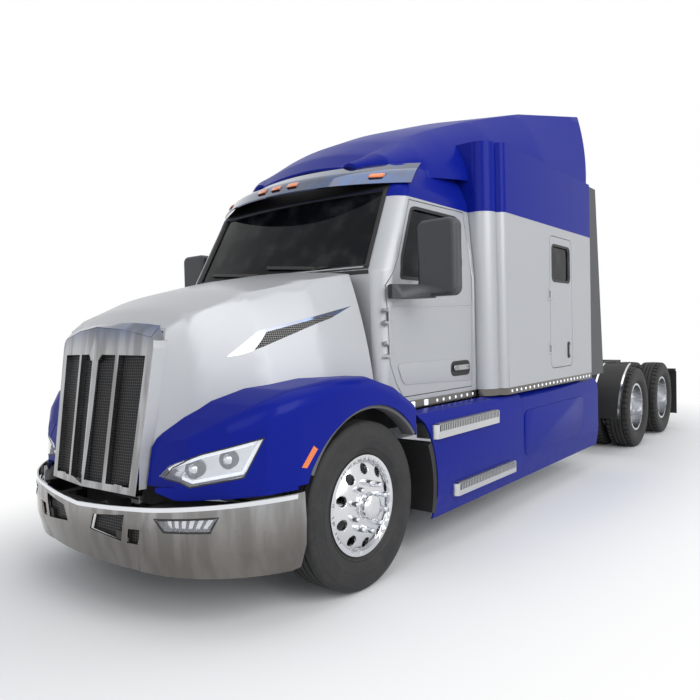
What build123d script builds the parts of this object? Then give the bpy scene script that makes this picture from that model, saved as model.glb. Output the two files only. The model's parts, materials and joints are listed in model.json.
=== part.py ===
"""Conventional sleeper tractor unit with a tilting hood, steered front axle and twin drive axles.

Frame: +Z up, -Y forward, +X to the driver's (left) side, ground at Z = 0.
Every piece is modelled on stations, millimetres back from a datum just ahead of the bumper,
and is moved at export so that the origin lies on the ground under the middle of the truck.
"""
from build123d import *
import math
import os

# Overall layout, stations along Y
NOSE = 100                   # foremost point of the bumper
FRONT_AXLE = 1270
HOOD_BACK = 1560
CAB_BACK = 2912
SLEEPER_GAP = 13
SLEEPER_LENGTH = 2240
REAR_END = 9030              # rear face of the mud flaps
REAR_OVERHANG = 780          # from the last axle to the rear end
TANDEM_SPACING = 1320

# Heights
FRAME_TOP = 1010
FRAME_DEPTH = 270
CAB_FLOOR = 1060
PAINT_SPLIT = 2490           # silver below, blue above
CAB_ROOF_TOP = 2770
SLEEPER_TOP = 3050

# Half widths
CAB_HALF = 1045
SLEEPER_HALF = 1222
FAIRING_HALF = SLEEPER_HALF
RAIL_OUTER = 433

# Walls and clearances
SKIN = 14                    # moulded hood and fender panels
CAB_WALL = 55
SLEEPER_WALL = 45
GLASS = 6
PANEL_GAP = 6                # shut line round doors and hatches
SEAM_GAP = 3                 # joint between fixed panels
PIN_CLEARANCE = 0.3

# Wheels
TYRE_R = 507
TYRE_WIDTH = 290
BEAD_R = 286
FLANGE_R = 300
RIM_HALF = 103
FLANGE_T = 10
BARREL_T = 14
DISC_T = 20
HAND_HOLES = 10
HAND_HOLE_R = 31
HAND_HOLE_PITCH_R = 222
FRONT_TYRE_X = 1040
DUAL_OUTER_X = 1090
DUAL_SPACING = 340
KINGPIN_X = 850
SPINDLE_R = 45
HUB_R = 112

# Hood hinge, a tube behind the bumper, with gooseneck arms that swing over the bumper's top lip
HINGE_Y = 210
HINGE_Z = 560
HINGE_R = 20

# Fifth wheel
FIFTH_AHEAD = 110            # ahead of the middle of the tandem
FIFTH_PIVOT_Z = 1095
FIFTH_TOP = 1190
FIFTH_R = 455
FIFTH_T = 45
KINGPIN_R = 25.6
PIVOT_R = 28

SLEEPER_FRONT = CAB_BACK + SLEEPER_GAP
SLEEPER_BACK = SLEEPER_FRONT + SLEEPER_LENGTH
DRIVE_AXLES = [REAR_END - REAR_OVERHANG - TANDEM_SPACING, REAR_END - REAR_OVERHANG]
FIFTH_Y = sum(DRIVE_AXLES) / 2 - FIFTH_AHEAD
CENTRE_Y = (NOSE + REAR_END) / 2
RAIL_BOTTOM = FRAME_TOP - FRAME_DEPTH
SIDES = (("left", 1), ("right", -1))


# Outside hinges: a pin on the body, turning in a sleeve on the leaf of the door
LEAF_PIN_R = 4
LEAF_R = 8
LEAF_SLEEVE = 60
LEAF_EAR = 24
LEAF_T = 7
DOOR_HINGE = (CAB_HALF + LEAF_R, 1716)
DOOR_HINGE_Z = (1420, 1640)
HATCH_HINGE = (SLEEPER_HALF + LEAF_R, SLEEPER_BACK - 1119)
HATCH_HINGE_Z = (1350, 1850)


# Helpers

def flip(shape):
    """The same piece on the other side of the truck."""
    return mirror(shape, about=Plane.YZ)


def box(x0, x1, y0, y1, z0, z1):
    """A block from its corner values."""
    return Pos((x0 + x1) / 2, (y0 + y1) / 2, (z0 + z1) / 2) * Box(x1 - x0, y1 - y0, z1 - z0)


def prism_x(points, x0, x1):
    """A side-view outline of (station, height) points, extruded from x0 to x1."""
    plane = Plane(origin=(x0, 0, 0), x_dir=(0, 1, 0), z_dir=(1, 0, 0))
    return extrude(plane * make_face(Polyline(*points, close=True)), x1 - x0)


def prism_z(points, z0, z1):
    """A plan outline of (x, station) points, extruded from z0 to z1."""
    return Pos(0, 0, z0) * extrude(make_face(Polyline(*points, close=True)), z1 - z0)


def rod_x(y, z, radius, x0, x1):
    """A round bar across the truck."""
    return Pos((x0 + x1) / 2, y, z) * Rot(0, 90, 0) * Cylinder(radius, x1 - x0)


def rod_y(x, z, radius, y0, y1):
    """A round bar along the truck."""
    return Pos(x, (y0 + y1) / 2, z) * Rot(90, 0, 0) * Cylinder(radius, y1 - y0)


def rounded_panel(y0, y1, z0, z1, radius, x0, x1):
    """A side-view rounded rectangle, extruded from x0 to x1."""
    plane = Plane(origin=(x0, (y0 + y1) / 2, (z0 + z1) / 2), x_dir=(0, 1, 0), z_dir=(1, 0, 0))
    return extrude(plane * RectangleRounded(y1 - y0, z1 - z0, radius), x1 - x0)


def hinge_halves(place, heights, reach):
    """The fixed ears with their pins, and the turning sleeves, of a row of outside hinges."""
    x, y = place
    fixed, turning = [], []
    for z in heights:
        ears = [Pos(x, y, z + side * (LEAF_SLEEVE + LEAF_EAR) / 2) * Cylinder(LEAF_R, LEAF_EAR - 2 * PIN_CLEARANCE)
                for side in (-1, 1)]
        for side, ear in zip((-1, 1), ears):
            low = z + side * (LEAF_SLEEVE + LEAF_EAR) / 2 - LEAF_EAR / 2 + PIN_CLEARANCE
            leaf = box(x - LEAF_R - reach, x, y - 40, y, low, low + LEAF_EAR - 2 * PIN_CLEARANCE)
            fixed.append(ear + leaf)
        fixed.append(Pos(x, y, z) * Cylinder(LEAF_PIN_R, LEAF_SLEEVE + LEAF_EAR))
        sleeve = Pos(x, y, z) * Cylinder(LEAF_R, LEAF_SLEEVE)
        half = LEAF_SLEEVE / 2
        sleeve = sleeve + box(x - LEAF_T, x, y, y + 74, z - half, z + half)
        sleeve = sleeve + box(x - LEAF_R - reach, x, y + 24, y + 74, z - half, z + half)
        turning.append(sleeve - Pos(x, y, z) * Cylinder(LEAF_PIN_R + PIN_CLEARANCE, LEAF_SLEEVE + 10))
    return fixed, turning


def wire_face(edges):
    return Face(Wire(edges))


def save(name, *shapes):
    """Writes a node's solids, moved from stations to the truck's own frame."""
    solids = [solid for shape in shapes for solid in shape.solids()]
    moved = [Pos(0, -CENTRE_Y, 0) * solid for solid in solids]
    whole = moved[0] if len(moved) == 1 else Compound(children=moved)
    export_step(whole, f"parts/{name}.step")


# Hood: sections of a crowned top between two creases and flared sides
HOOD_ROWS = [
    # station, half width low, low height, half width at crease, crease height, crown height, swell of the sides
    (150, 440, 745, 446, 1452, 1512, 1),
    (270, 455, 775, 474, 1526, 1588, 1),
    (480, 645, 1010, 564, 1658, 1716, 14),
    (820, 860, 1165, 672, 1784, 1838, 24),
    (1200, 975, 1200, 768, 1868, 1926, 26),
    (HOOD_BACK, CAB_HALF - 5, 1150, 845, 1926, 1984, 26),
]


def hood_section(row, inset=0):
    y, low_x, low_z, crease_x, crease_z, crown_z, swell = row
    low_z = low_z - 4 * inset
    low_x, crease_x = low_x - inset, crease_x - inset
    crease_z, crown_z = crease_z - inset, crown_z - inset
    mid = ((low_x + crease_x) / 2 + swell, (low_z + crease_z) / 2)
    corner = [(-low_x, y, low_z), (low_x, y, low_z), (crease_x, y, crease_z), (-crease_x, y, crease_z)]
    return wire_face([
        Line(corner[0], corner[1]),
        ThreePointArc(corner[1], (mid[0], y, mid[1]), corner[2]),
        ThreePointArc(corner[2], (0, y, crown_z), corner[3]),
        ThreePointArc(corner[3], (-mid[0], y, mid[1]), corner[0]),
    ])


def hood_body(inset=0):
    return loft([hood_section(row, inset) for row in HOOD_ROWS], ruled=True)


# Fender: sections with a rounded shoulder, growing from the grille to the wheel arch
FENDER_ROWS = [
    # station, inner x, outer x, top height, shoulder radius
    (215, 470, 600, 840, 40),
    (300, 500, 748, 990, 60),
    (420, 540, 962, 1098, 80),
    (540, 600, 1112, 1180, 90),
    (700, 650, 1186, 1240, 100),
    (1000, 820, 1214, 1280, 100),
    (1330, 940, 1218, 1275, 100),
    (1590, 1056, 1212, 1196, 90),
    (1790, 1056, 1198, 1080, 70),
]
FENDER_LOW = 745
ARCH_Y = 1305
ARCH_R = 600


def fender_section(row, inset=0):
    y, inner_x, outer_x, top_z, radius = row
    inner_x = inner_x - 3 * inset
    outer_x, top_z = outer_x - inset, top_z - inset
    low_z = FENDER_LOW - 3 * inset
    radius = max(radius - inset, SKIN)
    turn = radius * (1 - math.sqrt(0.5))
    return wire_face([
        Line((inner_x, y, low_z), (outer_x, y, low_z)),
        Line((outer_x, y, low_z), (outer_x, y, top_z - radius)),
        ThreePointArc((outer_x, y, top_z - radius), (outer_x - turn, y, top_z - turn), (outer_x - radius, y, top_z)),
        Line((outer_x - radius, y, top_z), (inner_x, y, top_z)),
        Line((inner_x, y, top_z), (inner_x, y, low_z)),
    ])


def fender_body(inset=0):
    """The outer form, or the hollow inside it, which stops short of the solid tip beside the grille."""
    rows = FENDER_ROWS[1:] if inset else FENDER_ROWS
    return loft([fender_section(row, inset) for row in rows], ruled=True)


# Headlamp: an outline on a plane that faces forwards and outwards
LAMP_PLANE = Plane(origin=(600, 190, 0), x_dir=(0.849, 0.529, 0), z_dir=(0.529, -0.849, 0))
LAMP_OUTLINE = [(8, 800), (78, 862), (270, 932), (612, 1016), (500, 808), (262, 764), (205, 752), (140, 782)]
LAMP_GAP = 0.3


def lamp_prism(grow=0):
    face = LAMP_PLANE * make_face(Polyline(*LAMP_OUTLINE, close=True))
    if grow:
        face = LAMP_PLANE * offset(make_face(Polyline(*LAMP_OUTLINE, close=True)), grow, kind=Kind.INTERSECTION)
    return extrude(face, 350, both=True)


# Side vent of the hood and the amber lamp on the fender, as side-view outlines
VENT_OUTLINE = [(640, 1420), (820, 1561), (1505, 1714), (1320, 1635), (1210, 1604), (715, 1430)]
SIDE_LAMP_OUTLINE = [(712, 838), (748, 828), (828, 918), (800, 940)]


def build_hood_group():
    ahead = ahead_of_grille()
    hood_outer = hood_body() - ahead
    hood_shell = hood_outer - hood_body(SKIN)
    vent_cut = prism_x(VENT_OUTLINE, 500, 1200)
    vents = [hood_shell & vent_cut]
    vents.append(flip(vents[0]))
    hood_shell = hood_shell - vent_cut - flip(vent_cut)

    outer = fender_body() - ahead
    arch = rod_x(ARCH_Y, TYRE_R, ARCH_R, 300, 1400)
    plain = outer - fender_body(SKIN)
    skin = plain - hood_outer - arch
    lamp_block = plain & lamp_prism(-LAMP_GAP)
    headlamp = max(lamp_block.solids(), key=lambda s: s.volume)
    side_cut = prism_x(SIDE_LAMP_OUTLINE, 1100, 1300)
    side_lamp = plain & side_cut
    side_lamp = max(side_lamp.solids(), key=lambda s: s.volume)
    fender = skin - lamp_prism() - side_cut
    fender = max(fender.solids(), key=lambda s: s.volume)

    save("hood_shell", hood_shell)
    save("hood_vents", *vents)
    save("fenders", fender, flip(fender))
    save("headlamps", headlamp, flip(headlamp))
    save("fender_lamps", side_lamp, flip(side_lamp))


# Grille: a chrome frame folded at the middle, leaning back
GRILLE_LOW = 700
GRILLE_TALL = 914            # up the slope at the middle
GRILLE_SHOULDER = (250, 898)
GRILLE_SIDE_TALL = 800
GRILLE_CORNER_TALL = 852
GRILLE_HALF = 496
GRILLE_LOW_HALF = 460
GRILLE_LOW_Y = 128
GRILLE_LEAN = 8.0
GRILLE_FOLD = 7.5
GRILLE_T = 46
GRILLE_SIDE = 58
GRILLE_SILL = 38
GRILLE_CROWN = 96
GRILLE_DIP = (70, 40, 36)    # where the crown's middle starts and ends to hang lower, and by how much
BAR_WIDTH = 30
BAR_AT = (0, 205)
BAR_T = 30
MESH_T = 10
FOLD_LAP = 12                # each half runs past the fold before it is trimmed there
SLEEVE_R = 32
SLEEVE_X = (270, 346)
NECK_Y = (276, 306)          # gooseneck arms of the hood hinge
NECK_TOP = 738
NECK_T = 28


def grille_half(shape):
    """Folds and leans a front-view plate about the foot of the grille's middle."""
    return Pos(0, GRILLE_LOW_Y, GRILLE_LOW) * Rot(-GRILLE_LEAN, 0, 0) * Rot(0, 0, GRILLE_FOLD) * shape


def front_plate(points, thickness, back=0):
    """A plate from (x, height above the sill) points, with its front at y = back."""
    plane = Plane(origin=(0, back + thickness, 0), x_dir=(1, 0, 0), z_dir=(0, -1, 0))
    return extrude(plane * make_face(Polyline(*points, close=True)), thickness)


def left_of_fold(shape):
    """A folded plate, trimmed at the middle of the truck."""
    return shape & box(0, FAIRING_HALF, -FAIRING_HALF, CAB_BACK, -SLEEPER_TOP, SLEEPER_TOP)


def ahead_of_grille():
    """The space in front of the plane that the grille's back lies on, on both sides of the fold."""
    wide, tall = FAIRING_HALF, SLEEPER_TOP
    slab = front_plate([(-FOLD_LAP, -tall), (wide, -tall), (wide, tall), (-FOLD_LAP, tall)], wide, GRILLE_T - wide)
    half = left_of_fold(grille_half(slab))
    return half + flip(half)


def grille_opening():
    """The outline of half the grille's opening, with the crown hanging lower at the middle."""
    top = GRILLE_CORNER_TALL - GRILLE_CROWN
    dip_start, dip_end, dip = GRILLE_DIP
    return [(-FOLD_LAP, GRILLE_SILL), (GRILLE_LOW_HALF - GRILLE_SIDE, GRILLE_SILL), (GRILLE_HALF - GRILLE_SIDE, top),
            (dip_start, top), (dip_end, top - dip), (-FOLD_LAP, top - dip)]


def build_grille():
    rim_outline = [(-FOLD_LAP, 0), (GRILLE_LOW_HALF, 0), (GRILLE_HALF, GRILLE_SIDE_TALL),
                   (GRILLE_HALF - GRILLE_SILL / 4, GRILLE_CORNER_TALL), GRILLE_SHOULDER,
                   (-FOLD_LAP, GRILLE_TALL)]
    half = front_plate(rim_outline, GRILLE_T) - front_plate(grille_opening(), GRILLE_T)
    bar_top = GRILLE_CORNER_TALL - GRILLE_CROWN / 2
    for x in BAR_AT:
        wide = BAR_WIDTH / 2
        low_x = x * GRILLE_LOW_HALF / GRILLE_HALF
        outline = [(max(low_x - wide, -FOLD_LAP), GRILLE_SILL / 2), (low_x + wide, GRILLE_SILL / 2),
                   (x + wide, bar_top), (max(x - wide, -FOLD_LAP), bar_top)]
        half = half + front_plate(outline, BAR_T)
    half = left_of_fold(grille_half(half))
    mesh = left_of_fold(grille_half(front_plate(grille_opening(), MESH_T, GRILLE_T - MESH_T))) - half
    neck = box(*SLEEVE_X, *NECK_Y, HINGE_Z, NECK_TOP)
    neck = neck + box(*SLEEVE_X, GRILLE_LOW_Y + GRILLE_T, NECK_Y[1], NECK_TOP - NECK_T, NECK_TOP)
    neck = neck + box(*SLEEVE_X, HINGE_Y, NECK_Y[1], HINGE_Z - NECK_T / 2, HINGE_Z + NECK_T / 2)
    neck = neck + rod_x(HINGE_Y, HINGE_Z, SLEEVE_R, *SLEEVE_X)
    neck = neck - rod_x(HINGE_Y, HINGE_Z, HINGE_R + PIN_CLEARANCE, 0, FAIRING_HALF) - mesh
    half = half + neck
    save("grille_surround", half + flip(half))
    save("grille_mesh", mesh + flip(mesh))


# Bumper: plan sections from the chin to the top lip
BUMPER_ROWS = [
    # height, middle station, break half width, break station, corner x and station, end x, end station
    (300, 140, 450, 178, 920, 352, 1150, 660),
    (430, 104, 500, 146, 945, 335, 1195, 680),
    (560, NOSE, 500, 142, 950, 335, 1200, 680),
    (740, 112, 500, 155, 945, 350, 1192, 700),
]
BUMPER_T = 8
BUMPER_SEAM = [(440, 180), (488, 310), (622, 667), (657, 760)]   # slanting joint of the middle and the ends
BUMPER_BACK = 725
JOINT_LAP = 26
JOINT_Z = (380, 640)
BUMPER_LIP = [(0, 620), (330, 640), (617, 660), (866, 680), (1000, 690), (1300, 722)]
INTAKE = [(125, 485), (165, 572), (430, 602), (400, 458)]
TOW_HOLE = [(445, 455), (460, 532), (546, 538), (534, 457)]
FOG_OUTLINE = [(639, 607), (699, 538), (923, 543), (955, 625)]


def bumper_section(row, inset=0):
    z, mid_y, break_x, break_y, corner_x, corner_y, end_x, end_y = row
    back = BUMPER_BACK
    front = [(-break_x, break_y + inset, z), (0, mid_y + inset, z), (break_x, break_y + inset, z)]
    corner = (corner_x - 0.6 * inset, corner_y + 0.8 * inset, z)
    end = (end_x - inset, end_y, z)
    return wire_face([
        ThreePointArc(*front),
        ThreePointArc(front[2], corner, end),
        Line(end, (end[0], back, z)),
        Line((end[0], back, z), (-end[0], back, z)),
        Line((-end[0], back, z), (-end[0], end_y, z)),
        ThreePointArc((-end[0], end_y, z), (-corner[0], corner[1], z), front[0]),
    ])


def bumper_body(inset=0):
    return loft([bumper_section(row, inset) for row in BUMPER_ROWS], ruled=True)


def front_prism(points, y0, y1):
    """A front-view outline of (x, height) points, extruded along the truck."""
    plane = Plane(origin=(0, y1, 0), x_dir=(1, 0, 0), z_dir=(0, -1, 0))
    return extrude(plane * make_face(Polyline(*points, close=True)), y1 - y0)


def seam_band(start, end):
    """The front-view strip between two shifts of the bumper's slanting joint."""
    return [(x + start, z) for x, z in BUMPER_SEAM] + [(x + end, z) for x, z in BUMPER_SEAM[::-1]]


def build_bumper():
    inner = bumper_body(BUMPER_T)
    shell = bumper_body() - inner
    side = BUMPER_LIP[-1][0]
    lip = [(-x, z) for x, z in BUMPER_LIP[:0:-1]] + BUMPER_LIP
    shell = shell - front_prism(lip + [(side, CAB_FLOOR), (-side, CAB_FLOOR)], 0, BUMPER_BACK)
    for outline in (INTAKE, TOW_HOLE):
        hole = front_prism(outline, 0, HOOD_ROWS[2][0])
        shell = shell - hole - flip(hole)
    fog_hole = front_prism(FOG_OUTLINE, 0, BUMPER_BACK)
    fog = shell & fog_hole
    fog = max(fog.solids(), key=lambda s: s.volume)
    shell = shell - fog_hole - flip(fog_hole)
    backing = inner - bumper_body(2 * BUMPER_T)
    strip = backing & front_prism(seam_band(-JOINT_LAP, JOINT_LAP), 0, BUMPER_BACK)
    strip = strip & box(0, side, 0, BUMPER_BACK, *JOINT_Z)
    outside = front_prism(seam_band(0, side), 0, BUMPER_BACK)
    centre = shell - outside - flip(outside) + strip + flip(strip)
    end = shell & front_prism(seam_band(SEAM_GAP, side), 0, BUMPER_BACK)
    save("bumper", centre, end, flip(end))
    save("fog_lamps", fog, flip(fog))
    return inner


# Cab: plan sections from the floor to the roof
CAB_ROWS = [
    # height, half width, station where the side ends, front half width, front corner station, front middle station
    (CAB_FLOOR, CAB_HALF, 1690, CAB_HALF - 70, 1622, 1605),
    (1960, CAB_HALF, 1790, CAB_HALF - 120, 1672, 1608),
    (2560, CAB_HALF - 55, 2095, CAB_HALF - 170, 1985, 1888),
    (CAB_ROOF_TOP, CAB_HALF - 145, 2260, CAB_HALF - 275, 2150, 2040),
]
WINDSHIELD = [(-890, 1985), (890, 1985), (850, 2545), (-850, 2545)]
DOOR_BACK = CAB_BACK - 44
WINDOW_BACK = DOOR_BACK - 143
DOOR_OUTLINE = [(1722, 1330), (1790, 1190), (1870, 1090), (DOOR_BACK - 23, 1090), (DOOR_BACK, 1700),
                (DOOR_BACK - 10, 2200), (DOOR_BACK - 38, 2480), (2060, 2470), (1850, 2040), (1722, 1850)]
WINDOW_OUTLINE = [(1868, 1905), (1895, 2050), (2070, 2400), (2120, 2420), (WINDOW_BACK - 25, 2420),
                  (WINDOW_BACK, 2380), (WINDOW_BACK, 2060), (WINDOW_BACK - 85, 1905)]
DOOR_REACH = (CAB_HALF - 130, CAB_HALF + 155)    # across the side wall, clear of the front wall
DOOR_SILL = 1300             # the door is plain wall below this, with no piece of the floor


def cab_section(row, inset=0):
    z, half, side_y, front_x, front_y, mid_y = row
    half, front_x = half - inset, front_x - 0.6 * inset
    side_y, front_y, mid_y = side_y + 0.6 * inset, front_y + inset, mid_y + inset
    back = CAB_BACK - inset
    corner = ((half + front_x) / 2 + 0.14 * (half - front_x), (side_y + front_y) / 2 - 0.14 * (side_y - front_y))
    return wire_face([
        Line((-half, back, z), (half, back, z)),
        Line((half, back, z), (half, side_y, z)),
        ThreePointArc((half, side_y, z), (corner[0], corner[1], z), (front_x, front_y, z)),
        ThreePointArc((front_x, front_y, z), (0, mid_y, z), (-front_x, front_y, z)),
        ThreePointArc((-front_x, front_y, z), (-corner[0], corner[1], z), (-half, side_y, z)),
        Line((-half, side_y, z), (-half, back, z)),
    ])


def cab_body(inset=0):
    rows = [(row[0] + (inset if i == 0 else -inset if i == len(CAB_ROWS) - 1 else 0),) + row[1:]
            for i, row in enumerate(CAB_ROWS)]
    return loft([cab_section(row, inset) for row in rows], ruled=True)


def grown(points, amount):
    """A side-view outline moved outwards (or inwards, if negative) by an amount."""
    return offset(make_face(Polyline(*points, close=True)), amount, kind=Kind.INTERSECTION)


def side_prism(points, amount, x0, x1):
    plane = Plane(origin=(x0, 0, 0), x_dir=(0, 1, 0), z_dir=(1, 0, 0))
    return extrude(plane * grown(points, amount), x1 - x0)


PASSAGE = [(-620, 1150), (620, 1150), (620, 2440), (-620, 2440)]


def build_cab():
    outer = cab_body()
    shell = outer - cab_body(CAB_WALL)
    glass_shell = cab_body(16) - cab_body(16 + GLASS)
    screen_cut = front_prism(WINDSHIELD, 1300, 2250)
    screen = max((glass_shell & screen_cut).solids(), key=lambda s: s.volume)
    passage = front_prism(PASSAGE, CAB_BACK - 2 * CAB_WALL, CAB_BACK + CAB_WALL)
    door_cut = side_prism(DOOR_OUTLINE, 0, *DOOR_REACH)
    room = box(0, CAB_HALF - CAB_WALL, HOOD_BACK, CAB_BACK - CAB_WALL, CAB_FLOOR, DOOR_SILL)
    door = shell & side_prism(DOOR_OUTLINE, -PANEL_GAP, *DOOR_REACH)
    door = door - room
    window_cut = prism_x(WINDOW_OUTLINE, *DOOR_REACH)
    door_glass = max((glass_shell & window_cut).solids(), key=lambda s: s.volume)
    door = door - window_cut
    fixed, turning = hinge_halves(DOOR_HINGE, DOOR_HINGE_Z, CAB_WALL / 2)
    for sleeve in turning:
        door = door + sleeve
    shell = shell - screen_cut - passage - door_cut - flip(door_cut)
    for ear in fixed:
        shell = shell + ear + flip(ear)
    above = box(-SLEEPER_HALF, SLEEPER_HALF, NOSE, SLEEPER_FRONT, PAINT_SPLIT, SLEEPER_TOP)
    roof = shell & above
    shell = shell - above
    save("cab_shell", shell)
    save("cab_roof", roof)
    for name, side in SIDES:
        keep = (lambda s: s) if side > 0 else flip
        save(f"door_{name}", keep(door))
        save(f"door_{name}_glass", keep(door_glass))
    return outer, screen


# Sun visor: a curved blade over the windshield
VISOR_ROWS = [
    # height, tip half width, tip station, middle station
    (2590, 1005, 2085, 1690),
    (2690, 1000, 2160, 1790),
    (2775, 960, 2290, 1950),
]
VISOR_T = 16
MARKER_X = (0, 165, 790)
MARKER_Z = 2655


def visor_section(row):
    z, tip_x, tip_y, mid_y = row
    return wire_face([
        ThreePointArc((-tip_x, tip_y, z), (0, mid_y, z), (tip_x, tip_y, z)),
        Line((tip_x, tip_y, z), (tip_x, tip_y + VISOR_T, z)),
        ThreePointArc((tip_x, tip_y + VISOR_T, z), (0, mid_y + VISOR_T, z), (-tip_x, tip_y + VISOR_T, z)),
        Line((-tip_x, tip_y + VISOR_T, z), (-tip_x, tip_y, z)),
    ])


def build_visor(cab_outer, fairing):
    blade = loft([visor_section(row) for row in VISOR_ROWS], ruled=True) - cab_outer - fairing
    blade = max(blade.solids(), key=lambda s: s.volume)
    markers = []
    for x in MARKER_X:
        reach = 1690 + (2085 - 1690) * (x / 1005) ** 2 + 55
        lamp = Pos(x, reach, MARKER_Z) * Box(90, 150, 32)
        lamp = fillet(lamp.edges().filter_by(Axis.Y), 14)
        lamp = (lamp - blade - cab_outer).solids().sort_by(Axis.Y)[0]
        markers.append(lamp)
        if x:
            markers.append(flip(lamp))
    save("sun_visor", blade)
    save("marker_lamps", *markers)


# Sleeper: a hollow box whose front corners swell in two steps, silver below the split and blue above
CORNER_STEPS = [
    # start, middle and end of each arc, as (x, station)
    ((SLEEPER_HALF - 187, SLEEPER_FRONT), (SLEEPER_HALF - 87, SLEEPER_FRONT + 43),
     (SLEEPER_HALF - 56, SLEEPER_FRONT + 155)),
    ((SLEEPER_HALF - 56, SLEEPER_FRONT + 155), (SLEEPER_HALF - 18, SLEEPER_FRONT + 177),
     (SLEEPER_HALF, SLEEPER_FRONT + 225)),
]
LINING_R = 265               # the lining turns the corner in one plain round
HATCH = (SLEEPER_BACK - 1120, SLEEPER_BACK - 555, 1165, 2405)          # stations and heights
HATCH_R = 70
HATCH_WINDOW = (SLEEPER_BACK - 1060, SLEEPER_BACK - 615, 1985, 2320)
HATCH_WINDOW_R = 60
HATCH_REACH = (SLEEPER_HALF - 120, SLEEPER_HALF + 80)
GLASS_INSET = 14


def lining_corner(half, front, inset):
    """The one arc of a lining's front corner, as (start, middle, end)."""
    radius = LINING_R - inset
    turn = radius * (1 - math.sqrt(0.5))
    return [((half - radius, front), (half - turn, front + turn), (half, front + radius))]


def sleeper_body(inset=0):
    half, front = SLEEPER_HALF - inset, SLEEPER_FRONT + inset
    back = SLEEPER_BACK - inset
    arcs = lining_corner(half, front, inset) if inset else CORNER_STEPS
    start, end = arcs[0][0], arcs[-1][2]
    edges = [Line((-half, back), (half, back)), Line((half, back), end), Line(start, (-start[0], front))]
    for arc in arcs:
        edges.append(ThreePointArc(*arc))
        edges.append(ThreePointArc(*[(-x, y) for x, y in arc]))
    edges.append(Line((-end[0], end[1]), (-half, back)))
    low, high = CAB_FLOOR + inset, SLEEPER_TOP - inset
    return Pos(0, 0, low) * extrude(make_face(edges), high - low, dir=(0, 0, 1))


def build_sleeper():
    shell = sleeper_body() - sleeper_body(SLEEPER_WALL)
    shell = shell - front_prism(PASSAGE, CAB_BACK, SLEEPER_FRONT + 2 * SLEEPER_WALL)
    glass_shell = sleeper_body(GLASS_INSET) - sleeper_body(GLASS_INSET + GLASS)
    y0, y1, z0, z1 = HATCH
    hatch_cut = rounded_panel(y0, y1, z0, z1, HATCH_R, *HATCH_REACH)
    inner_cut = rounded_panel(y0 + PANEL_GAP, y1 - PANEL_GAP, z0 + PANEL_GAP, z1 - PANEL_GAP, HATCH_R - PANEL_GAP,
                              *HATCH_REACH)
    window = rounded_panel(*HATCH_WINDOW, HATCH_WINDOW_R, *HATCH_REACH)
    hatch = (shell & inner_cut) - window
    hatch_glass = glass_shell & window
    side_window = flip(window)
    right_glass = glass_shell & side_window
    shell = shell - hatch_cut - side_window
    fixed, turning = hinge_halves(HATCH_HINGE, HATCH_HINGE_Z, SLEEPER_WALL / 2)
    for sleeve in turning:
        hatch = hatch + sleeve
    for ear in fixed:
        shell = shell + ear
    wide = HATCH_REACH[1]
    above = box(-wide, wide, CAB_BACK, SLEEPER_BACK + SLEEPER_WALL, PAINT_SPLIT, SLEEPER_TOP)
    save("sleeper_shell", shell - above)
    save("sleeper_upper", shell & above)
    save("sleeper_hatch", hatch)
    save("sleeper_hatch_glass", hatch_glass)
    return right_glass


# Roof fairing: sections from the nose over the cab to the tall trailing edge
FAIRING_ROWS = [
    # station, base half width, shoulder half width, shoulder height, crown height, base height
    (2030, 560, 430, 2790, 2828, 2690),
    (2180, 790, 560, 2890, 2965, 2690),
    (2450, 930, 640, 3040, 3130, 2700),
    (2800, 972, 690, 3190, 3278, 2740),
    (3400, SLEEPER_HALF - 132, 770, 3395, 3480, 2772),
    (4200, SLEEPER_HALF - 32, 870, 3630, 3700, 2772),
    (SLEEPER_BACK + 205, SLEEPER_HALF - 6, 1050, 3852, 3892, 2772),
]
FAIRING_T = 18
FAIRING_BULGE = 60
FAIRING_TAIL = [(SLEEPER_BACK - 53, 3040), (SLEEPER_BACK + 197, 3900)]     # slanting trailing edge


def fairing_section(row, inset=0):
    y, base_x, shoulder_x, shoulder_z, crown_z, base_z = row
    base_x, shoulder_x = base_x - inset, shoulder_x - inset
    shoulder_z, crown_z, base_z = shoulder_z - inset, crown_z - inset, base_z - 2 * inset
    mid = ((base_x + shoulder_x) / 2 + FAIRING_BULGE, (base_z + shoulder_z) / 2 + FAIRING_BULGE / 2)
    return wire_face([
        Line((-base_x, y, base_z), (base_x, y, base_z)),
        ThreePointArc((base_x, y, base_z), (mid[0], y, mid[1]), (shoulder_x, y, shoulder_z)),
        ThreePointArc((shoulder_x, y, shoulder_z), (0, y, crown_z), (-shoulder_x, y, shoulder_z)),
        ThreePointArc((-shoulder_x, y, shoulder_z), (-mid[0], y, mid[1]), (-base_x, y, base_z)),
    ])


def build_roof_fairing(cab_outer):
    (low_y, low_z), (high_y, high_z) = FAIRING_TAIL
    behind = prism_x([(low_y, CAB_FLOOR), (low_y, low_z), (high_y, high_z), (REAR_END, high_z), (REAR_END, CAB_FLOOR)],
                     -FAIRING_HALF, FAIRING_HALF)
    outer = loft([fairing_section(row) for row in FAIRING_ROWS], ruled=True) - behind
    inner = loft([fairing_section(row, FAIRING_T) for row in FAIRING_ROWS], ruled=True)
    sleeper = sleeper_body()
    shell = outer - inner - sleeper - cab_outer
    shell = max(shell.solids(), key=lambda s: s.volume)
    save("roof_fairing", shell)
    return outer


# Side extenders behind the sleeper
EXTENDER_TOP = 3030
EXTENDER_LOW = 1030
EXTENDER_T = 14
EXTENDER_LONG = (395, 195)   # low down and at the top


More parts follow.
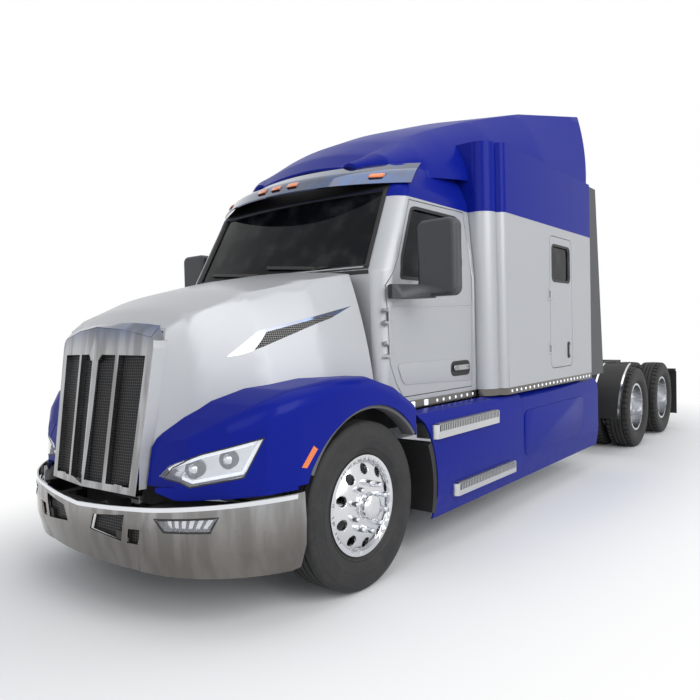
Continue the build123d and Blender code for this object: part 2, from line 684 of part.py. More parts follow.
def build_extenders(fairing):
    outline = [(SLEEPER_BACK, EXTENDER_LOW), (SLEEPER_BACK + EXTENDER_LONG[0], EXTENDER_LOW),
               (SLEEPER_BACK + EXTENDER_LONG[1], EXTENDER_TOP), (SLEEPER_BACK, EXTENDER_TOP)]
    panel = prism_x(outline, SLEEPER_HALF - EXTENDER_T, SLEEPER_HALF) - fairing
    panel = max(panel.solids(), key=lambda s: s.volume)
    save("side_extenders", panel, flip(panel))


# Chassis fairings and the steps let into them
FAIRING_SECTION = [(FAIRING_HALF - 132, 1000), (FAIRING_HALF - 42, 985), (FAIRING_HALF - 8, 930),
                   (FAIRING_HALF, 860), (FAIRING_HALF, 420), (FAIRING_HALF - 26, 262)]
FAIRING_SKIN = 12
FAIRING_FRONT = 1780
FAIRING_ARCH_R = 705
FAIRING_REAR = SLEEPER_BACK + 195
FAIRING_JOIN = SLEEPER_FRONT + 485
STEP_DEPTH = 165
STEP_PROUD = 38
STEP_R = 36
STEPS = [
    # front station, rear station, tread height, depth of the lip
    (1950, CAB_BACK - 2, 905, 95),
    (2210, CAB_BACK + 288, 455, 85),
]


def side_fairing():
    """A panel whose section runs from the shoulder under the door to the tucked-in lower edge."""
    outer = list(FAIRING_SECTION)
    inner = [(x - FAIRING_SKIN, z - (FAIRING_SKIN if i < 2 else 0)) for i, (x, z) in enumerate(outer)]
    points = outer + inner[::-1]
    plane = Plane(origin=(0, FAIRING_REAR, 0), x_dir=(1, 0, 0), z_dir=(0, -1, 0))
    return extrude(plane * make_face(Polyline(*points, close=True)), FAIRING_REAR - FAIRING_FRONT)


def build_side_fairings():
    panel = side_fairing() - rod_x(ARCH_Y, TYRE_R, FAIRING_ARCH_R, 0, FAIRING_HALF + STEP_PROUD)
    steps = []
    x1 = FAIRING_HALF + STEP_PROUD
    for y0, y1, z, lip in STEPS:
        tread = box(x1 - STEP_DEPTH, x1, y0, y1, z - lip, z)
        ends = tread.edges().filter_by(Axis.Z).sort_by(Axis.X)[-2:]
        tread = fillet(ends, STEP_R)
        steps.append(tread)
        panel = panel - tread
    front_half = panel & box(0, x1, 0, FAIRING_JOIN, 0, CAB_FLOOR)
    rear_half = panel & box(0, x1, FAIRING_JOIN + SEAM_GAP, FAIRING_REAR, 0, CAB_FLOOR)
    front_half = max(front_half.solids(), key=lambda s: s.volume)
    save("chassis_fairings", front_half, rear_half, flip(front_half), flip(rear_half))
    save("step_treads", *steps, *[flip(step) for step in steps])


# Fuel tanks behind the fairings
TANK_R = 315
TANK_X = 800
TANK_Z = 600
TANK_Y = (SLEEPER_FRONT + 575, SLEEPER_BACK + 85)
TANK_EDGE = 36


def build_tanks():
    tank = rod_y(TANK_X, TANK_Z, TANK_R, *TANK_Y)
    tank = chamfer(tank.edges().filter_by(GeomType.CIRCLE), TANK_EDGE)
    save("fuel_tanks", tank, flip(tank))
    return tank


# Quarter fenders ahead of the drive wheels, and mud flaps behind
GUARD_X = (612, FAIRING_HALF + 14)
GUARD_ARC = [(DRIVE_AXLES[0] - 825, 450), (DRIVE_AXLES[0] - 660, 850), (DRIVE_AXLES[0] - 310, 1075)]
GUARD_T = 10
GUARD_ROD = (DRIVE_AXLES[0] - 672, 800, 18)
GUARD_ROD_END = 1000
LINER_X = (620, FAIRING_HALF - 6)
LINER_R = (655, FAIRING_ARCH_R - PIN_CLEARANCE)
LINER_TURN = (-17, 24)       # degrees above the axle's height, seen from the middle of the arch
TAIL_LAMP = (470, 560)
FLAP_Z = (190, 838)
FLAP_T = 12


# Frame: channel rails, the members and brackets on them, and the support of the hood hinge
FLANGE_W = 90
RAIL_T = 10
RAIL_FRONT = 560
RAIL_REAR = REAR_END - 70
MEMBER_HALF = 40             # half the length of a crossmember or bracket along the truck
MEMBER_LOW = 870
CROSSMEMBERS = (CAB_BACK - 212, SLEEPER_BACK - 1265, SLEEPER_BACK - 65, DRIVE_AXLES[0] - 680, DRIVE_AXLES[0] + 660,
                RAIL_REAR - 60)
MOUNT_STATIONS = (1750, CAB_BACK - 212, SLEEPER_FRONT + 225, SLEEPER_BACK - 1065, SLEEPER_BACK - 105)
MOUNT_HALF = 60
BRACKET_STATIONS = (TANK_Y[0] + 150, (TANK_Y[0] + TANK_Y[1]) / 2, TANK_Y[1] - 270)
OUTRIGGER_STATIONS = (2200, CAB_BACK + 88)
OUTRIGGER_HALF = 30
OUTRIGGER_Z = (950, 976)
SHELF_Z = (800, 980)
SPRING_EYES = (FRONT_AXLE - 560, FRONT_AXLE + 560)
SPRING_HANGER_LOW = 600
BEAM_HANGER = (360, 433, -520, -440, 470)        # x from and to, stations from the axle, low end
TAIL_T = 12
HANGER_BAR = (GUARD_X[1] - 6, 28, 838, 880)                # half width, thickness, heights of the mud-flap bar
HORN = (352, 425)
HORN_LOW = 490
HORN_HIGH = HINGE_Z + 35
HORN_OUTLINE = [(HINGE_Y - 45, HORN_LOW), (HINGE_Y - 45, HORN_HIGH), (460, HORN_HIGH),
                (RAIL_FRONT - 20, RAIL_BOTTOM + RAIL_T), (RAIL_FRONT + 95, RAIL_BOTTOM + RAIL_T),
                (RAIL_FRONT + 95, RAIL_BOTTOM - 60), (RAIL_FRONT, HORN_LOW)]
STAY = (270, 400, 510)                           # rear station and heights of the bumper's stays


def build_rails():
    rail = box(RAIL_OUTER - FLANGE_W, RAIL_OUTER, RAIL_FRONT, RAIL_REAR, RAIL_BOTTOM, FRAME_TOP)
    rail = rail - box(0, RAIL_OUTER - RAIL_T, 0, REAR_END, RAIL_BOTTOM + RAIL_T, FRAME_TOP - RAIL_T)
    save("frame_rails", rail, flip(rail))
    return rail


def build_members(tank, spring):
    left = []
    for y in MOUNT_STATIONS:
        left.append(box(RAIL_OUTER - FLANGE_W, RAIL_OUTER, y - MOUNT_HALF, y + MOUNT_HALF, FRAME_TOP, CAB_FLOOR))
    for y in BRACKET_STATIONS + OUTRIGGER_STATIONS:
        arm = box(RAIL_OUTER, FAIRING_HALF, y - OUTRIGGER_HALF, y + OUTRIGGER_HALF, *OUTRIGGER_Z) & fairing_inside()
        if y in BRACKET_STATIONS:
            arm = arm + (box(RAIL_OUTER, TANK_X, y - MEMBER_HALF, y + MEMBER_HALF, *SHELF_Z) - tank)
        left.append(arm)
    for y in SPRING_EYES:
        left.append(box(*SPRING_X, y - MEMBER_HALF, y + MEMBER_HALF, SPRING_HANGER_LOW, RAIL_BOTTOM) - spring)
    for y in DRIVE_AXLES:
        x0, x1, front, back, low = BEAM_HANGER
        left.append(box(x0, x1, y + front, y + back, low, RAIL_BOTTOM))
    left.append(rod_x(*GUARD_ROD, RAIL_OUTER, GUARD_ROD_END))
    middle = []
    web = RAIL_OUTER - RAIL_T
    for y in CROSSMEMBERS:
        middle.append(box(-web, web, y - MEMBER_HALF, y + MEMBER_HALF, MEMBER_LOW, FRAME_TOP - RAIL_T))
    half, thick, low, high = HANGER_BAR
    bar_back = REAR_END - FLAP_T
    tail = box(-RAIL_OUTER, RAIL_OUTER, RAIL_REAR, RAIL_REAR + TAIL_T, RAIL_BOTTOM, FRAME_TOP)
    tail = tail + box(-RAIL_OUTER, RAIL_OUTER, RAIL_REAR, bar_back, low, high)
    tail = tail + box(-half, half, bar_back - thick, bar_back, low, high)
    save("frame_members", *left, *[flip(piece) for piece in left], *middle, tail)


def build_front_support(bumper_inner, rail):
    back, low, high = STAY
    horn = prism_x(HORN_OUTLINE, *HORN) + (box(*HORN, 0, back, low, high) & bumper_inner)
    horn = horn - rail
    support = horn + flip(horn) + rod_x(HINGE_Y, HINGE_Z, HINGE_R, -HORN[1], HORN[1])
    support = support + box(-HORN[1], HORN[1], *RADIATOR_Y, HINGE_Z, RADIATOR_LOW)
    save("front_support", support)


def fairing_inside():
    """The space behind a side fairing's skin."""
    points = [(x - FAIRING_SKIN, z - (FAIRING_SKIN if i < 2 else 0)) for i, (x, z) in enumerate(FAIRING_SECTION)]
    points = points + [(RAIL_OUTER, FAIRING_SECTION[-1][1]), (RAIL_OUTER, FAIRING_SECTION[0][1])]
    plane = Plane(origin=(0, FAIRING_REAR, 0), x_dir=(1, 0, 0), z_dir=(0, -1, 0))
    return extrude(plane * make_face(Polyline(*points, close=True)), FAIRING_REAR - FAIRING_FRONT)


def build_guards():
    inner = [(y + GUARD_T, z - GUARD_T * 0.5) for y, z in GUARD_ARC]
    plane = Plane(origin=(GUARD_X[0], 0, 0), x_dir=(0, 1, 0), z_dir=(1, 0, 0))
    edges = [
        ThreePointArc(*GUARD_ARC),
        Line(GUARD_ARC[2], inner[2]),
        ThreePointArc(inner[2], inner[1], inner[0]),
        Line(inner[0], GUARD_ARC[0]),
    ]
    guard = extrude(plane * make_face(edges), GUARD_X[1] - GUARD_X[0])
    guard = guard - rod_x(*GUARD_ROD, RAIL_OUTER, GUARD_ROD_END)
    flap = box(*GUARD_X, REAR_END - FLAP_T, REAR_END, *FLAP_Z)
    liner = arch_liner()
    save("splash_guards", guard, flip(guard), flap, flip(flap), liner, flip(liner))
    lamp = box(*TAIL_LAMP, REAR_END - FLAP_T, REAR_END, *HANGER_BAR[2:])
    save("tail_lamps", lamp, flip(lamp))


def arch_liner():
    """The moulding that closes the front of a chassis fairing round the back of the steered tyre."""
    small, large = LINER_R
    edges = []
    for radius in LINER_R:
        turns = [math.radians(turn) for turn in (LINER_TURN[0], sum(LINER_TURN) / 2, LINER_TURN[1])]
        edges.append(ThreePointArc(*[(ARCH_Y + radius * math.cos(t), TYRE_R + radius * math.sin(t)) for t in turns]))
    for turn in LINER_TURN:
        across, up = math.cos(math.radians(turn)), math.sin(math.radians(turn))
        edges.append(Line((ARCH_Y + small * across, TYRE_R + small * up), (ARCH_Y + large * across, TYRE_R + large * up)))
    plane = Plane(origin=(LINER_X[0], 0, 0), x_dir=(0, 1, 0), z_dir=(1, 0, 0))
    return extrude(plane * make_face(edges), LINER_X[1] - LINER_X[0])


# Front axle: a dropped I-beam on leaf springs, with a boss for each kingpin
KINGPIN_R_AXLE = 24
BOSS_R = 48
BOSS_HALF = 55
BEAM_Z = 420
BRIDGE_T = 34
HUB_BACK = 952
SPRING_X = (348, 420)


def leaf_spring():
    y0, y1 = FRONT_AXLE - 600, FRONT_AXLE + 600
    edges = [
        ThreePointArc((y0, 690), (FRONT_AXLE, 560), (y1, 690)),
        Line((y1, 690), (y1, 660)),
        ThreePointArc((y1, 660), (FRONT_AXLE, 490), (y0, 660)),
        Line((y0, 660), (y0, 690)),
    ]
    plane = Plane(origin=(SPRING_X[0], 0, 0), x_dir=(0, 1, 0), z_dir=(1, 0, 0))
    return extrude(plane * make_face(edges), SPRING_X[1] - SPRING_X[0])


def build_front_axle(spring):
    web = box(-620, 620, FRONT_AXLE - 18, FRONT_AXLE + 18, BEAM_Z - 60, BEAM_Z + 60)
    flanges = box(-620, 620, FRONT_AXLE - 50, FRONT_AXLE + 50, BEAM_Z + 36, BEAM_Z + 60)
    flanges = flanges + box(-620, 620, FRONT_AXLE - 50, FRONT_AXLE + 50, BEAM_Z - 60, BEAM_Z - 36)
    rise_points = [(560, BEAM_Z - 60), (560, BEAM_Z + 60), (KINGPIN_X - 60, TYRE_R + 48), (KINGPIN_X, TYRE_R + 48),
                   (KINGPIN_X, TYRE_R - 48), (KINGPIN_X - 60, TYRE_R - 48)]
    rise = front_prism(rise_points, FRONT_AXLE - 40, FRONT_AXLE + 40)
    pin = Pos(KINGPIN_X, FRONT_AXLE, TYRE_R)
    boss = pin * Cylinder(BOSS_R, 2 * BOSS_HALF) + pin * Cylinder(KINGPIN_R_AXLE, 4 * BOSS_HALF)
    pad = box(*SPRING_X, FRONT_AXLE - 70, FRONT_AXLE + 70, BEAM_Z + 55, 500)
    left = rise + boss + pad + spring
    axle = web + flanges + left + flip(left)
    save("front_axle", axle)


def build_knuckles():
    pin = Pos(KINGPIN_X, FRONT_AXLE, TYRE_R)
    yoke = pin * Cylinder(BOSS_R, 4 * BOSS_HALF)
    yoke = yoke - pin * Cylinder(BOSS_R + 30, 2 * BOSS_HALF + 2 * PIN_CLEARANCE)
    yoke = yoke - pin * Cylinder(KINGPIN_R_AXLE + PIN_CLEARANCE, 6 * BOSS_HALF)
    bridge_x = HUB_BACK - 6 - BRIDGE_T
    bridge = box(bridge_x, bridge_x + BRIDGE_T, FRONT_AXLE - 40, FRONT_AXLE + 40, TYRE_R - 2 * BOSS_HALF,
                 TYRE_R + 2 * BOSS_HALF)
    for z in (TYRE_R - 2 * BOSS_HALF, TYRE_R + BOSS_HALF + PIN_CLEARANCE):
        top = z + BOSS_HALF - PIN_CLEARANCE
        ear = box(KINGPIN_X, bridge_x + 10, FRONT_AXLE - 40, FRONT_AXLE + 40, z, top)
        yoke = yoke + (ear - pin * Cylinder(KINGPIN_R_AXLE + PIN_CLEARANCE, 6 * BOSS_HALF))
    knuckle = yoke + bridge + rod_x(FRONT_AXLE, TYRE_R, SPINDLE_R, bridge_x, 1150)
    save("knuckle_left", knuckle)
    save("knuckle_right", flip(knuckle))


# Wheels, turned about the X axis with +X outwards; profiles are (x, radius) points
SIDEWALL = [(103, BEAD_R), (103, 303), (134, 342), (145, 402), (139, 456), (125, 491), (112, 502), (96, 505)]


def tyre(x, y):
    profile = SIDEWALL + [(0, TYRE_R)] + [(-side, radius) for side, radius in SIDEWALL[::-1]]
    return Pos(x, y, TYRE_R) * revolve(make_face(Polyline(*profile, close=True)), Axis.X, 360)


DISC_ROOT = 62               # from the rim's middle to the disc's foot on the barrel
DISC_FOOT = 24
DISC_CURVE = [
    # share of the way out to the bolting face, radius
    (0.0, BEAD_R - BARREL_T + 4),
    (0.46, 246),
    (0.72, 218),
    (0.93, 188),
    (1.0, 168),
    (1.0, 0),
]


def rim(face_x):
    """Barrel, flanges and a dished disc whose bolting face stands at face_x from the rim's middle."""
    sign = 1 if face_x > 0 else -1
    inner = BEAD_R - BARREL_T
    barrel = [(-RIM_HALF - FLANGE_T, inner), (RIM_HALF + FLANGE_T, inner), (RIM_HALF + FLANGE_T, FLANGE_R),
              (RIM_HALF, FLANGE_R), (RIM_HALF, BEAD_R), (-RIM_HALF, BEAD_R), (-RIM_HALF, FLANGE_R),
              (-RIM_HALF - FLANGE_T, FLANGE_R)]
    ring = revolve(make_face(Polyline(*barrel, close=True)), Axis.X, 360)
    root, foot, back = sign * DISC_ROOT, sign * (DISC_ROOT + DISC_FOOT), face_x - sign * DISC_T
    front = [(foot + share * (face_x - foot), radius) for share, radius in DISC_CURVE]
    rear = [(root + share * (back - root), radius) for share, radius in DISC_CURVE]
    wheel = ring + revolve(make_face(Polyline(*front, *rear[::-1], close=True)), Axis.X, 360)
    reach = sorted((sign * BEAD_R, sign * DISC_ROOT / 2))
    for i in range(HAND_HOLES):
        angle = 2 * math.pi * (i + 0.5) / HAND_HOLES
        wheel = wheel - rod_x(HAND_HOLE_PITCH_R * math.cos(angle), HAND_HOLE_PITCH_R * math.sin(angle), HAND_HOLE_R,
                              *reach)
    return wheel


STEER_FACE = 138
DRIVE_FACE = 150
CAP_R = 84


CAP_CURVE = [(26, 8), (8, 20), (0, 44)]         # back from the cap's end, in from its rim


def hub_cap(x0, x1):
    """A stepped bright cap over the hub's end."""
    profile = [(x0, 0), (x0, CAP_R)] + [(x1 - back, CAP_R - drop) for back, drop in CAP_CURVE] + [(x1, 0)]
    return revolve(make_face(Polyline(*profile, close=True)), Axis.X, 360)


def build_front_wheels():
    hub_back = HUB_BACK - FRONT_TYRE_X
    spindle_end = 1150 - FRONT_TYRE_X
    wheel = rim(STEER_FACE)
    wheel = wheel + rod_x(0, 0, HUB_R, hub_back, STEER_FACE - 5)
    wheel = wheel + hub_cap(STEER_FACE - 2, STEER_FACE + 66)
    wheel = wheel - rod_x(0, 0, SPINDLE_R + PIN_CLEARANCE, hub_back - 50, spindle_end + 2)
    wheel = Pos(FRONT_TYRE_X, FRONT_AXLE, TYRE_R) * wheel
    rubber = tyre(FRONT_TYRE_X, FRONT_AXLE)
    for name, side in SIDES:
        keep = (lambda s: s) if side > 0 else flip
        save(f"front_wheel_{name}", keep(wheel))
        save(f"front_tyre_{name}", keep(rubber))


AXLE_SPINDLE_END = 1000
AXLE_TUBE_R = 75
AXLE_TUBE_END = 560


def build_drive_wheels():
    inner_x = DUAL_OUTER_X - DUAL_SPACING
    middle = (DUAL_OUTER_X + inner_x) / 2
    outer_rim = Pos(DUAL_OUTER_X, 0, 0) * rim(-DRIVE_FACE)
    inner_rim = Pos(inner_x, 0, 0) * rim(DRIVE_FACE)
    pair = outer_rim + inner_rim + rod_x(0, 0, 165, middle - 40, middle + 40)
    pair = pair + rod_x(0, 0, HUB_R, 600, DUAL_OUTER_X - 20)
    pair = pair + Pos(DUAL_OUTER_X, 0, 0) * hub_cap(-24, 44)
    pair = pair - rod_x(0, 0, SPINDLE_R + PIN_CLEARANCE, 500, AXLE_SPINDLE_END + 2)
    pair = Pos(0, 0, TYRE_R) * pair
    tyres = [tyre(DUAL_OUTER_X, 0), tyre(inner_x, 0)]
    for number, y in enumerate(DRIVE_AXLES, 1):
        for name, side in SIDES:
            keep = (lambda s: s) if side > 0 else flip
            place = Pos(0, y, 0)
            save(f"drive_wheels_{number}_{name}", place * keep(pair))
            save(f"drive_tyres_{number}_{name}", *[place * keep(t) for t in tyres])


# Drive axles, their beams, air springs and shafts
def build_drive_axles():
    axles = None
    for y in DRIVE_AXLES:
        housing = rod_x(y, TYRE_R, AXLE_TUBE_R, -AXLE_TUBE_END, AXLE_TUBE_END)
        housing = housing + rod_x(y, TYRE_R, SPINDLE_R, -AXLE_SPINDLE_END, AXLE_SPINDLE_END)
        bowl = Pos(0, y, TYRE_R) * Sphere(205)
        pinion = rod_y(0, TYRE_R + 30, 90, y - 330, y)
        housing = housing + bowl + pinion
        for x in (-397, 397):
            beam = box(x - 36, x + 36, y - 440, y + 330, 440, 500)
            spring = Pos(x, y + 250, 620) * Cylinder(120, 240)
            housing = housing + beam + spring
        axles = housing if axles is None else axles + housing
    between = rod_y(0, TYRE_R + 30, 55, DRIVE_AXLES[0], DRIVE_AXLES[1] - 320)
    axles = axles + between
    start = Vector(0, GEARBOX_BACK, GEARBOX_Z)
    end = Vector(0, DRIVE_AXLES[0] - 325, TYRE_R + 30)
    run = end - start
    shaft = Plane(origin=start, z_dir=run) * Pos(0, 0, run.length / 2) * Cylinder(60, run.length)
    shaft = shaft & box(-200, 200, GEARBOX_BACK, DRIVE_AXLES[1], 0, 1000)
    save("drive_axles", axles + shaft)


# Engine and radiator
ENGINE = (650, 1540)
GEARBOX_BACK = 2600
GEARBOX_Z = 720
RADIATOR_Y = (430, 545)
RADIATOR_LOW = 740


def build_engine():
    block = box(-330, 330, ENGINE[0], ENGINE[1], 620, 1400)
    block = chamfer(block.edges().filter_by(Axis.Y).sort_by(Axis.Z)[-2:], 60)
    gearbox = box(-230, 230, ENGINE[1] - 5, GEARBOX_BACK, 560, 940)
    gearbox = chamfer(gearbox.edges().filter_by(Axis.Y), 50)
    save("engine_block", block + gearbox)
    core = box(-420, 420, *RADIATOR_Y, FRAME_TOP + 5, 1440)
    core = core + box(-335, 335, *RADIATOR_Y, RADIATOR_LOW, FRAME_TOP + 10)
    save("radiator", core)


# Fifth wheel: a tilting plate on a saddle
SADDLE_X = (330, 400)


def build_fifth_wheel():
    saddle = box(-RAIL_OUTER, RAIL_OUTER, FIFTH_Y - 330, FIFTH_Y + 330, FRAME_TOP, FRAME_TOP + 24)
    ears = None
    for side in (1, -1):
        x0, x1 = sorted((side * SADDLE_X[0], side * SADDLE_X[1]))
        ear_points = [(FIFTH_Y - 130, FRAME_TOP + 20), (FIFTH_Y + 130, FRAME_TOP + 20),
                      (FIFTH_Y + 34, FIFTH_PIVOT_Z + 34), (FIFTH_Y - 34, FIFTH_PIVOT_Z + 34)]
        ear = prism_x(ear_points, x0, x1) - rod_x(FIFTH_Y, FIFTH_PIVOT_Z, PIVOT_R + PIN_CLEARANCE, x0 - 5, x1 + 5)
        ears = ear if ears is None else ears + ear
    save("fifth_wheel_base", saddle + ears)
    disc = Pos(0, FIFTH_Y, FIFTH_TOP - FIFTH_T / 2) * Cylinder(FIFTH_R, FIFTH_T)
    tail = prism_z([(-FIFTH_R, FIFTH_Y), (FIFTH_R, FIFTH_Y), (300, FIFTH_Y + 520), (-300, FIFTH_Y + 520)],
                   FIFTH_TOP - FIFTH_T, FIFTH_TOP)
    plate = disc + tail
    throat = prism_z([(-KINGPIN_R, FIFTH_Y), (KINGPIN_R, FIFTH_Y), (KINGPIN_R, FIFTH_Y + 130),
                      (230, FIFTH_Y + 560), (-230, FIFTH_Y + 560), (-KINGPIN_R, FIFTH_Y + 130)],
                     FIFTH_TOP - FIFTH_T - 10, FIFTH_TOP + 10)
    seat = Pos(0, FIFTH_Y, FIFTH_TOP) * Cylinder(KINGPIN_R, 200)
    plate = plate - throat - seat
    for side in (1, -1):
        x0, x1 = sorted((side * 240, side * (SADDLE_X[0] - 8)))
        lug = box(x0, x1, FIFTH_Y - 45, FIFTH_Y + 45, FIFTH_PIVOT_Z - 34, FIFTH_TOP - FIFTH_T + 2)
        pin_x = sorted((side * 240, side * SADDLE_X[1]))
        plate = plate + lug + rod_x(FIFTH_Y, FIFTH_PIVOT_Z, PIVOT_R, *pin_x)
    save("fifth_wheel_plate", plate)


# Mirrors: a tall housing on an arm from the door's front edge
MIRROR = (1140, 1435, 1920, 2010, 1770, 2280)
MIRROR_CORNER_R = 55
MIRROR_EDGE_R = 30
MIRROR_ARM = [(1000, 1738), (1050, 1738), (1075, 1690), (1105, 1684), (1130, 1762), (1250, 1930), (1250, 1985),
              (1150, 1985), (1000, 1860)]
MIRROR_ARM_Z = (1760, 1850)


def build_mirrors(cab_outer):
    head = box(*MIRROR)
    head = fillet(head.edges().filter_by(Axis.Y), MIRROR_CORNER_R)
    head = fillet(head.faces().sort_by(Axis.Y)[0].edges(), MIRROR_EDGE_R)
    arm = prism_z(MIRROR_ARM, *MIRROR_ARM_Z) - cab_outer
    arm = max(arm.solids(), key=lambda s: s.volume)
    save("mirror_left", head + arm)
    save("mirror_right", flip(head + arm))


# Interior: dashboard with steering wheel, seats and bunk
SEAT_X = 520
SEAT_HALF = 255
SEAT_BACK = CAB_BACK - 112
SEAT_Z = (1480, 1600)
SEAT_TOP = 2280
FLOOR = CAB_FLOOR + CAB_WALL
BUNK_CLEAR = 27
BUNK_DEPTH = 870
BUNK_TOP = 1640


def build_interior():
    dash_points = [(1600, 1250), (1600, 1880), (1800, 1930), (2000, 1860), (2040, 1700), (1900, 1250)]
    dash = prism_x(dash_points, -880, 880)
    tilt = Pos(SEAT_X, 2085, 1800) * Rot(-35, 0, 0)
    wheel = tilt * Torus(205, 16) + tilt * Box(410, 36, 20) + tilt * Cylinder(60, 30)
    column = tilt * Pos(0, 0, -90) * Cylinder(30, 200)
    pedestal = box(-560, 560, 1720, 1860, FLOOR, 1300)
    save("dashboard", ((dash + pedestal) & cab_body(CAB_WALL)) + column + wheel)
    seats = []
    for x in (-SEAT_X, SEAT_X):
        base = box(x - SEAT_HALF + 55, x + SEAT_HALF - 55, SEAT_BACK - 470, SEAT_BACK - 70, FLOOR, SEAT_Z[0])
        cushion = box(x - SEAT_HALF, x + SEAT_HALF, SEAT_BACK - 530, SEAT_BACK - 20, *SEAT_Z)
        back = prism_x([(SEAT_BACK - 110, SEAT_Z[1] - 10), (SEAT_BACK, SEAT_Z[1] - 10), (SEAT_BACK + 48, SEAT_TOP),
                        (SEAT_BACK - 40, SEAT_TOP)], x - SEAT_HALF + 5, x + SEAT_HALF - 5)
        seats.append(base + cushion + back)
    half = SLEEPER_HALF - SLEEPER_WALL - BUNK_CLEAR
    back = SLEEPER_BACK - SLEEPER_WALL
    bunk = box(-half, half, back - BUNK_DEPTH, back, CAB_FLOOR + SLEEPER_WALL, BUNK_TOP)
    save("upholstery", *seats, bunk)


def main():
    os.makedirs("parts", exist_ok=True)
    build_hood_group()
    build_grille()
    bumper_inner = build_bumper()
    cab_outer, screen = build_cab()
    fairing = build_roof_fairing(cab_outer)
    build_visor(cab_outer, fairing)
    right_glass = build_sleeper()
    save("fixed_glass", screen, right_glass)
    build_extenders(fairing)
    build_side_fairings()
    tank = build_tanks()
    spring = leaf_spring()
    rail = build_rails()
    build_members(tank, spring)
    build_front_support(bumper_inner, rail)
    build_guards()
    build_front_axle(spring)
    build_knuckles()
    build_front_wheels()
    build_drive_wheels()
    build_drive_axles()
    build_engine()
    build_fifth_wheel()
    build_mirrors(cab_outer)
    build_interior()


main()
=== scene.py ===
"""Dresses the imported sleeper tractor: finishes, tyres, lamps, trim, seats, floor, light and camera."""

import json
import math
from contextlib import contextmanager

import bpy
from bpy.props import FloatProperty, FloatVectorProperty, IntProperty, PointerProperty
from mathutils import Matrix, Vector
from mathutils.bvhtree import BVHTree

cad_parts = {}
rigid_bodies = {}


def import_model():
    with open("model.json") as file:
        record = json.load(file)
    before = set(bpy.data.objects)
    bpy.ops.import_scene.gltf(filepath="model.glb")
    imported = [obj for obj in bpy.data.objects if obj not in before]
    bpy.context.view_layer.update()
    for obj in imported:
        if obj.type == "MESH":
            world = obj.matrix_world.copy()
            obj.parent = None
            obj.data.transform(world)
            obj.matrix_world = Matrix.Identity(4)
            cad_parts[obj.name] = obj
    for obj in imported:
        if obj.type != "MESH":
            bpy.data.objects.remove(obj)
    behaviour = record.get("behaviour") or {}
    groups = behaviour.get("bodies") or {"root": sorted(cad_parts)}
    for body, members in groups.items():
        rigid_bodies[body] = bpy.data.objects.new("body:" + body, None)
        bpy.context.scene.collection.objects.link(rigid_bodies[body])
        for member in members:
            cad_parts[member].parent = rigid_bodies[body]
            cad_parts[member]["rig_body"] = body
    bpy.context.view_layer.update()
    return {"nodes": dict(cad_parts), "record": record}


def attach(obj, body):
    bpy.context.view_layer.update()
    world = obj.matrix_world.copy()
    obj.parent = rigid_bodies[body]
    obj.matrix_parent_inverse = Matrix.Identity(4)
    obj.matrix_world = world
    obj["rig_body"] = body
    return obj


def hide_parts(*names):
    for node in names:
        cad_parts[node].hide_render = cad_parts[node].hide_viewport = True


bl_info = {
    "name": "Sleeper Tractor Dressing",
    "version": (1, 0, 0),
    "blender": (4, 5, 0),
    "location": "View3D > Sidebar > Truck",
    "description": "Finishes, trim and stage for a sleeper tractor unit",
    "category": "Object",
}

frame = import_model()
NODES = frame["nodes"]
NOSE_TO_ORIGIN = 4.565          # stations run back from here, in metres
SIDES = ("left", "right")
OUTWARD, INWARD = Vector((1, 0, 0)), Vector((-1, 0, 0))
BACK, FORWARD, UP, DOWN = Vector((0, 1, 0)), Vector((0, -1, 0)), Vector((0, 0, 1)), Vector((0, 0, -1))


def at(x, station, z):
    """A point from the truck's left, its station behind the bumper datum and its height."""
    return Vector((x, station - NOSE_TO_ORIGIN, z))


# Properties

def colour(name, text, value):
    return FloatVectorProperty(name=name, description=text, subtype="COLOR", size=3, min=0, max=1, default=value)


def length(name, text, value):
    return FloatProperty(name=name, description=text, default=value, unit="LENGTH", min=0)


class TruckColours(bpy.types.PropertyGroup):
    """Paint and trim colours, linear."""
    silver: colour("Silver", "Paint of the hood, cab and sleeper", (0.43, 0.44, 0.46))
    blue: colour("Blue", "Paint of the fenders, fairings and roof", (0.004, 0.012, 0.24))
    alloy: colour("Alloy", "Polished wheels and tanks", (0.72, 0.73, 0.75))
    rubber: colour("Rubber", "Tyres and flaps", (0.020, 0.020, 0.021))
    amber: colour("Amber", "Marker lamps", (0.80, 0.17, 0.008))
    cloth: colour("Cloth", "Seats and bunk", (0.055, 0.056, 0.064))


class TruckSizes(bpy.types.PropertyGroup):
    """Sizes that the camera, the tyres and the trim take."""
    lens: FloatProperty(name="Lens", description="Focal length on a 36 mm sensor, in mm", default=32.41, min=10)
    floor: length("Floor", "Half width of the studio floor", 60.0)
    notch: length("Notch", "Depth of the notches in the drive tyres' shoulders", 0.011)
    nut_circle: length("Nut circle", "Radius of the ring of wheel nuts", 0.142)
    nuts: IntProperty(name="Nuts", description="Wheel nuts on each wheel", default=10, min=3)
    lamp_pitch: length("Lamp pitch", "From one small lamp on the sill strip to the next", 0.09)
    gasket: length("Gasket", "Width of the rubber round a window", 0.024)
    tooth_pitch: length("Tooth pitch", "From one bar of a step's tread to the next", 0.024)


# Shader expressions

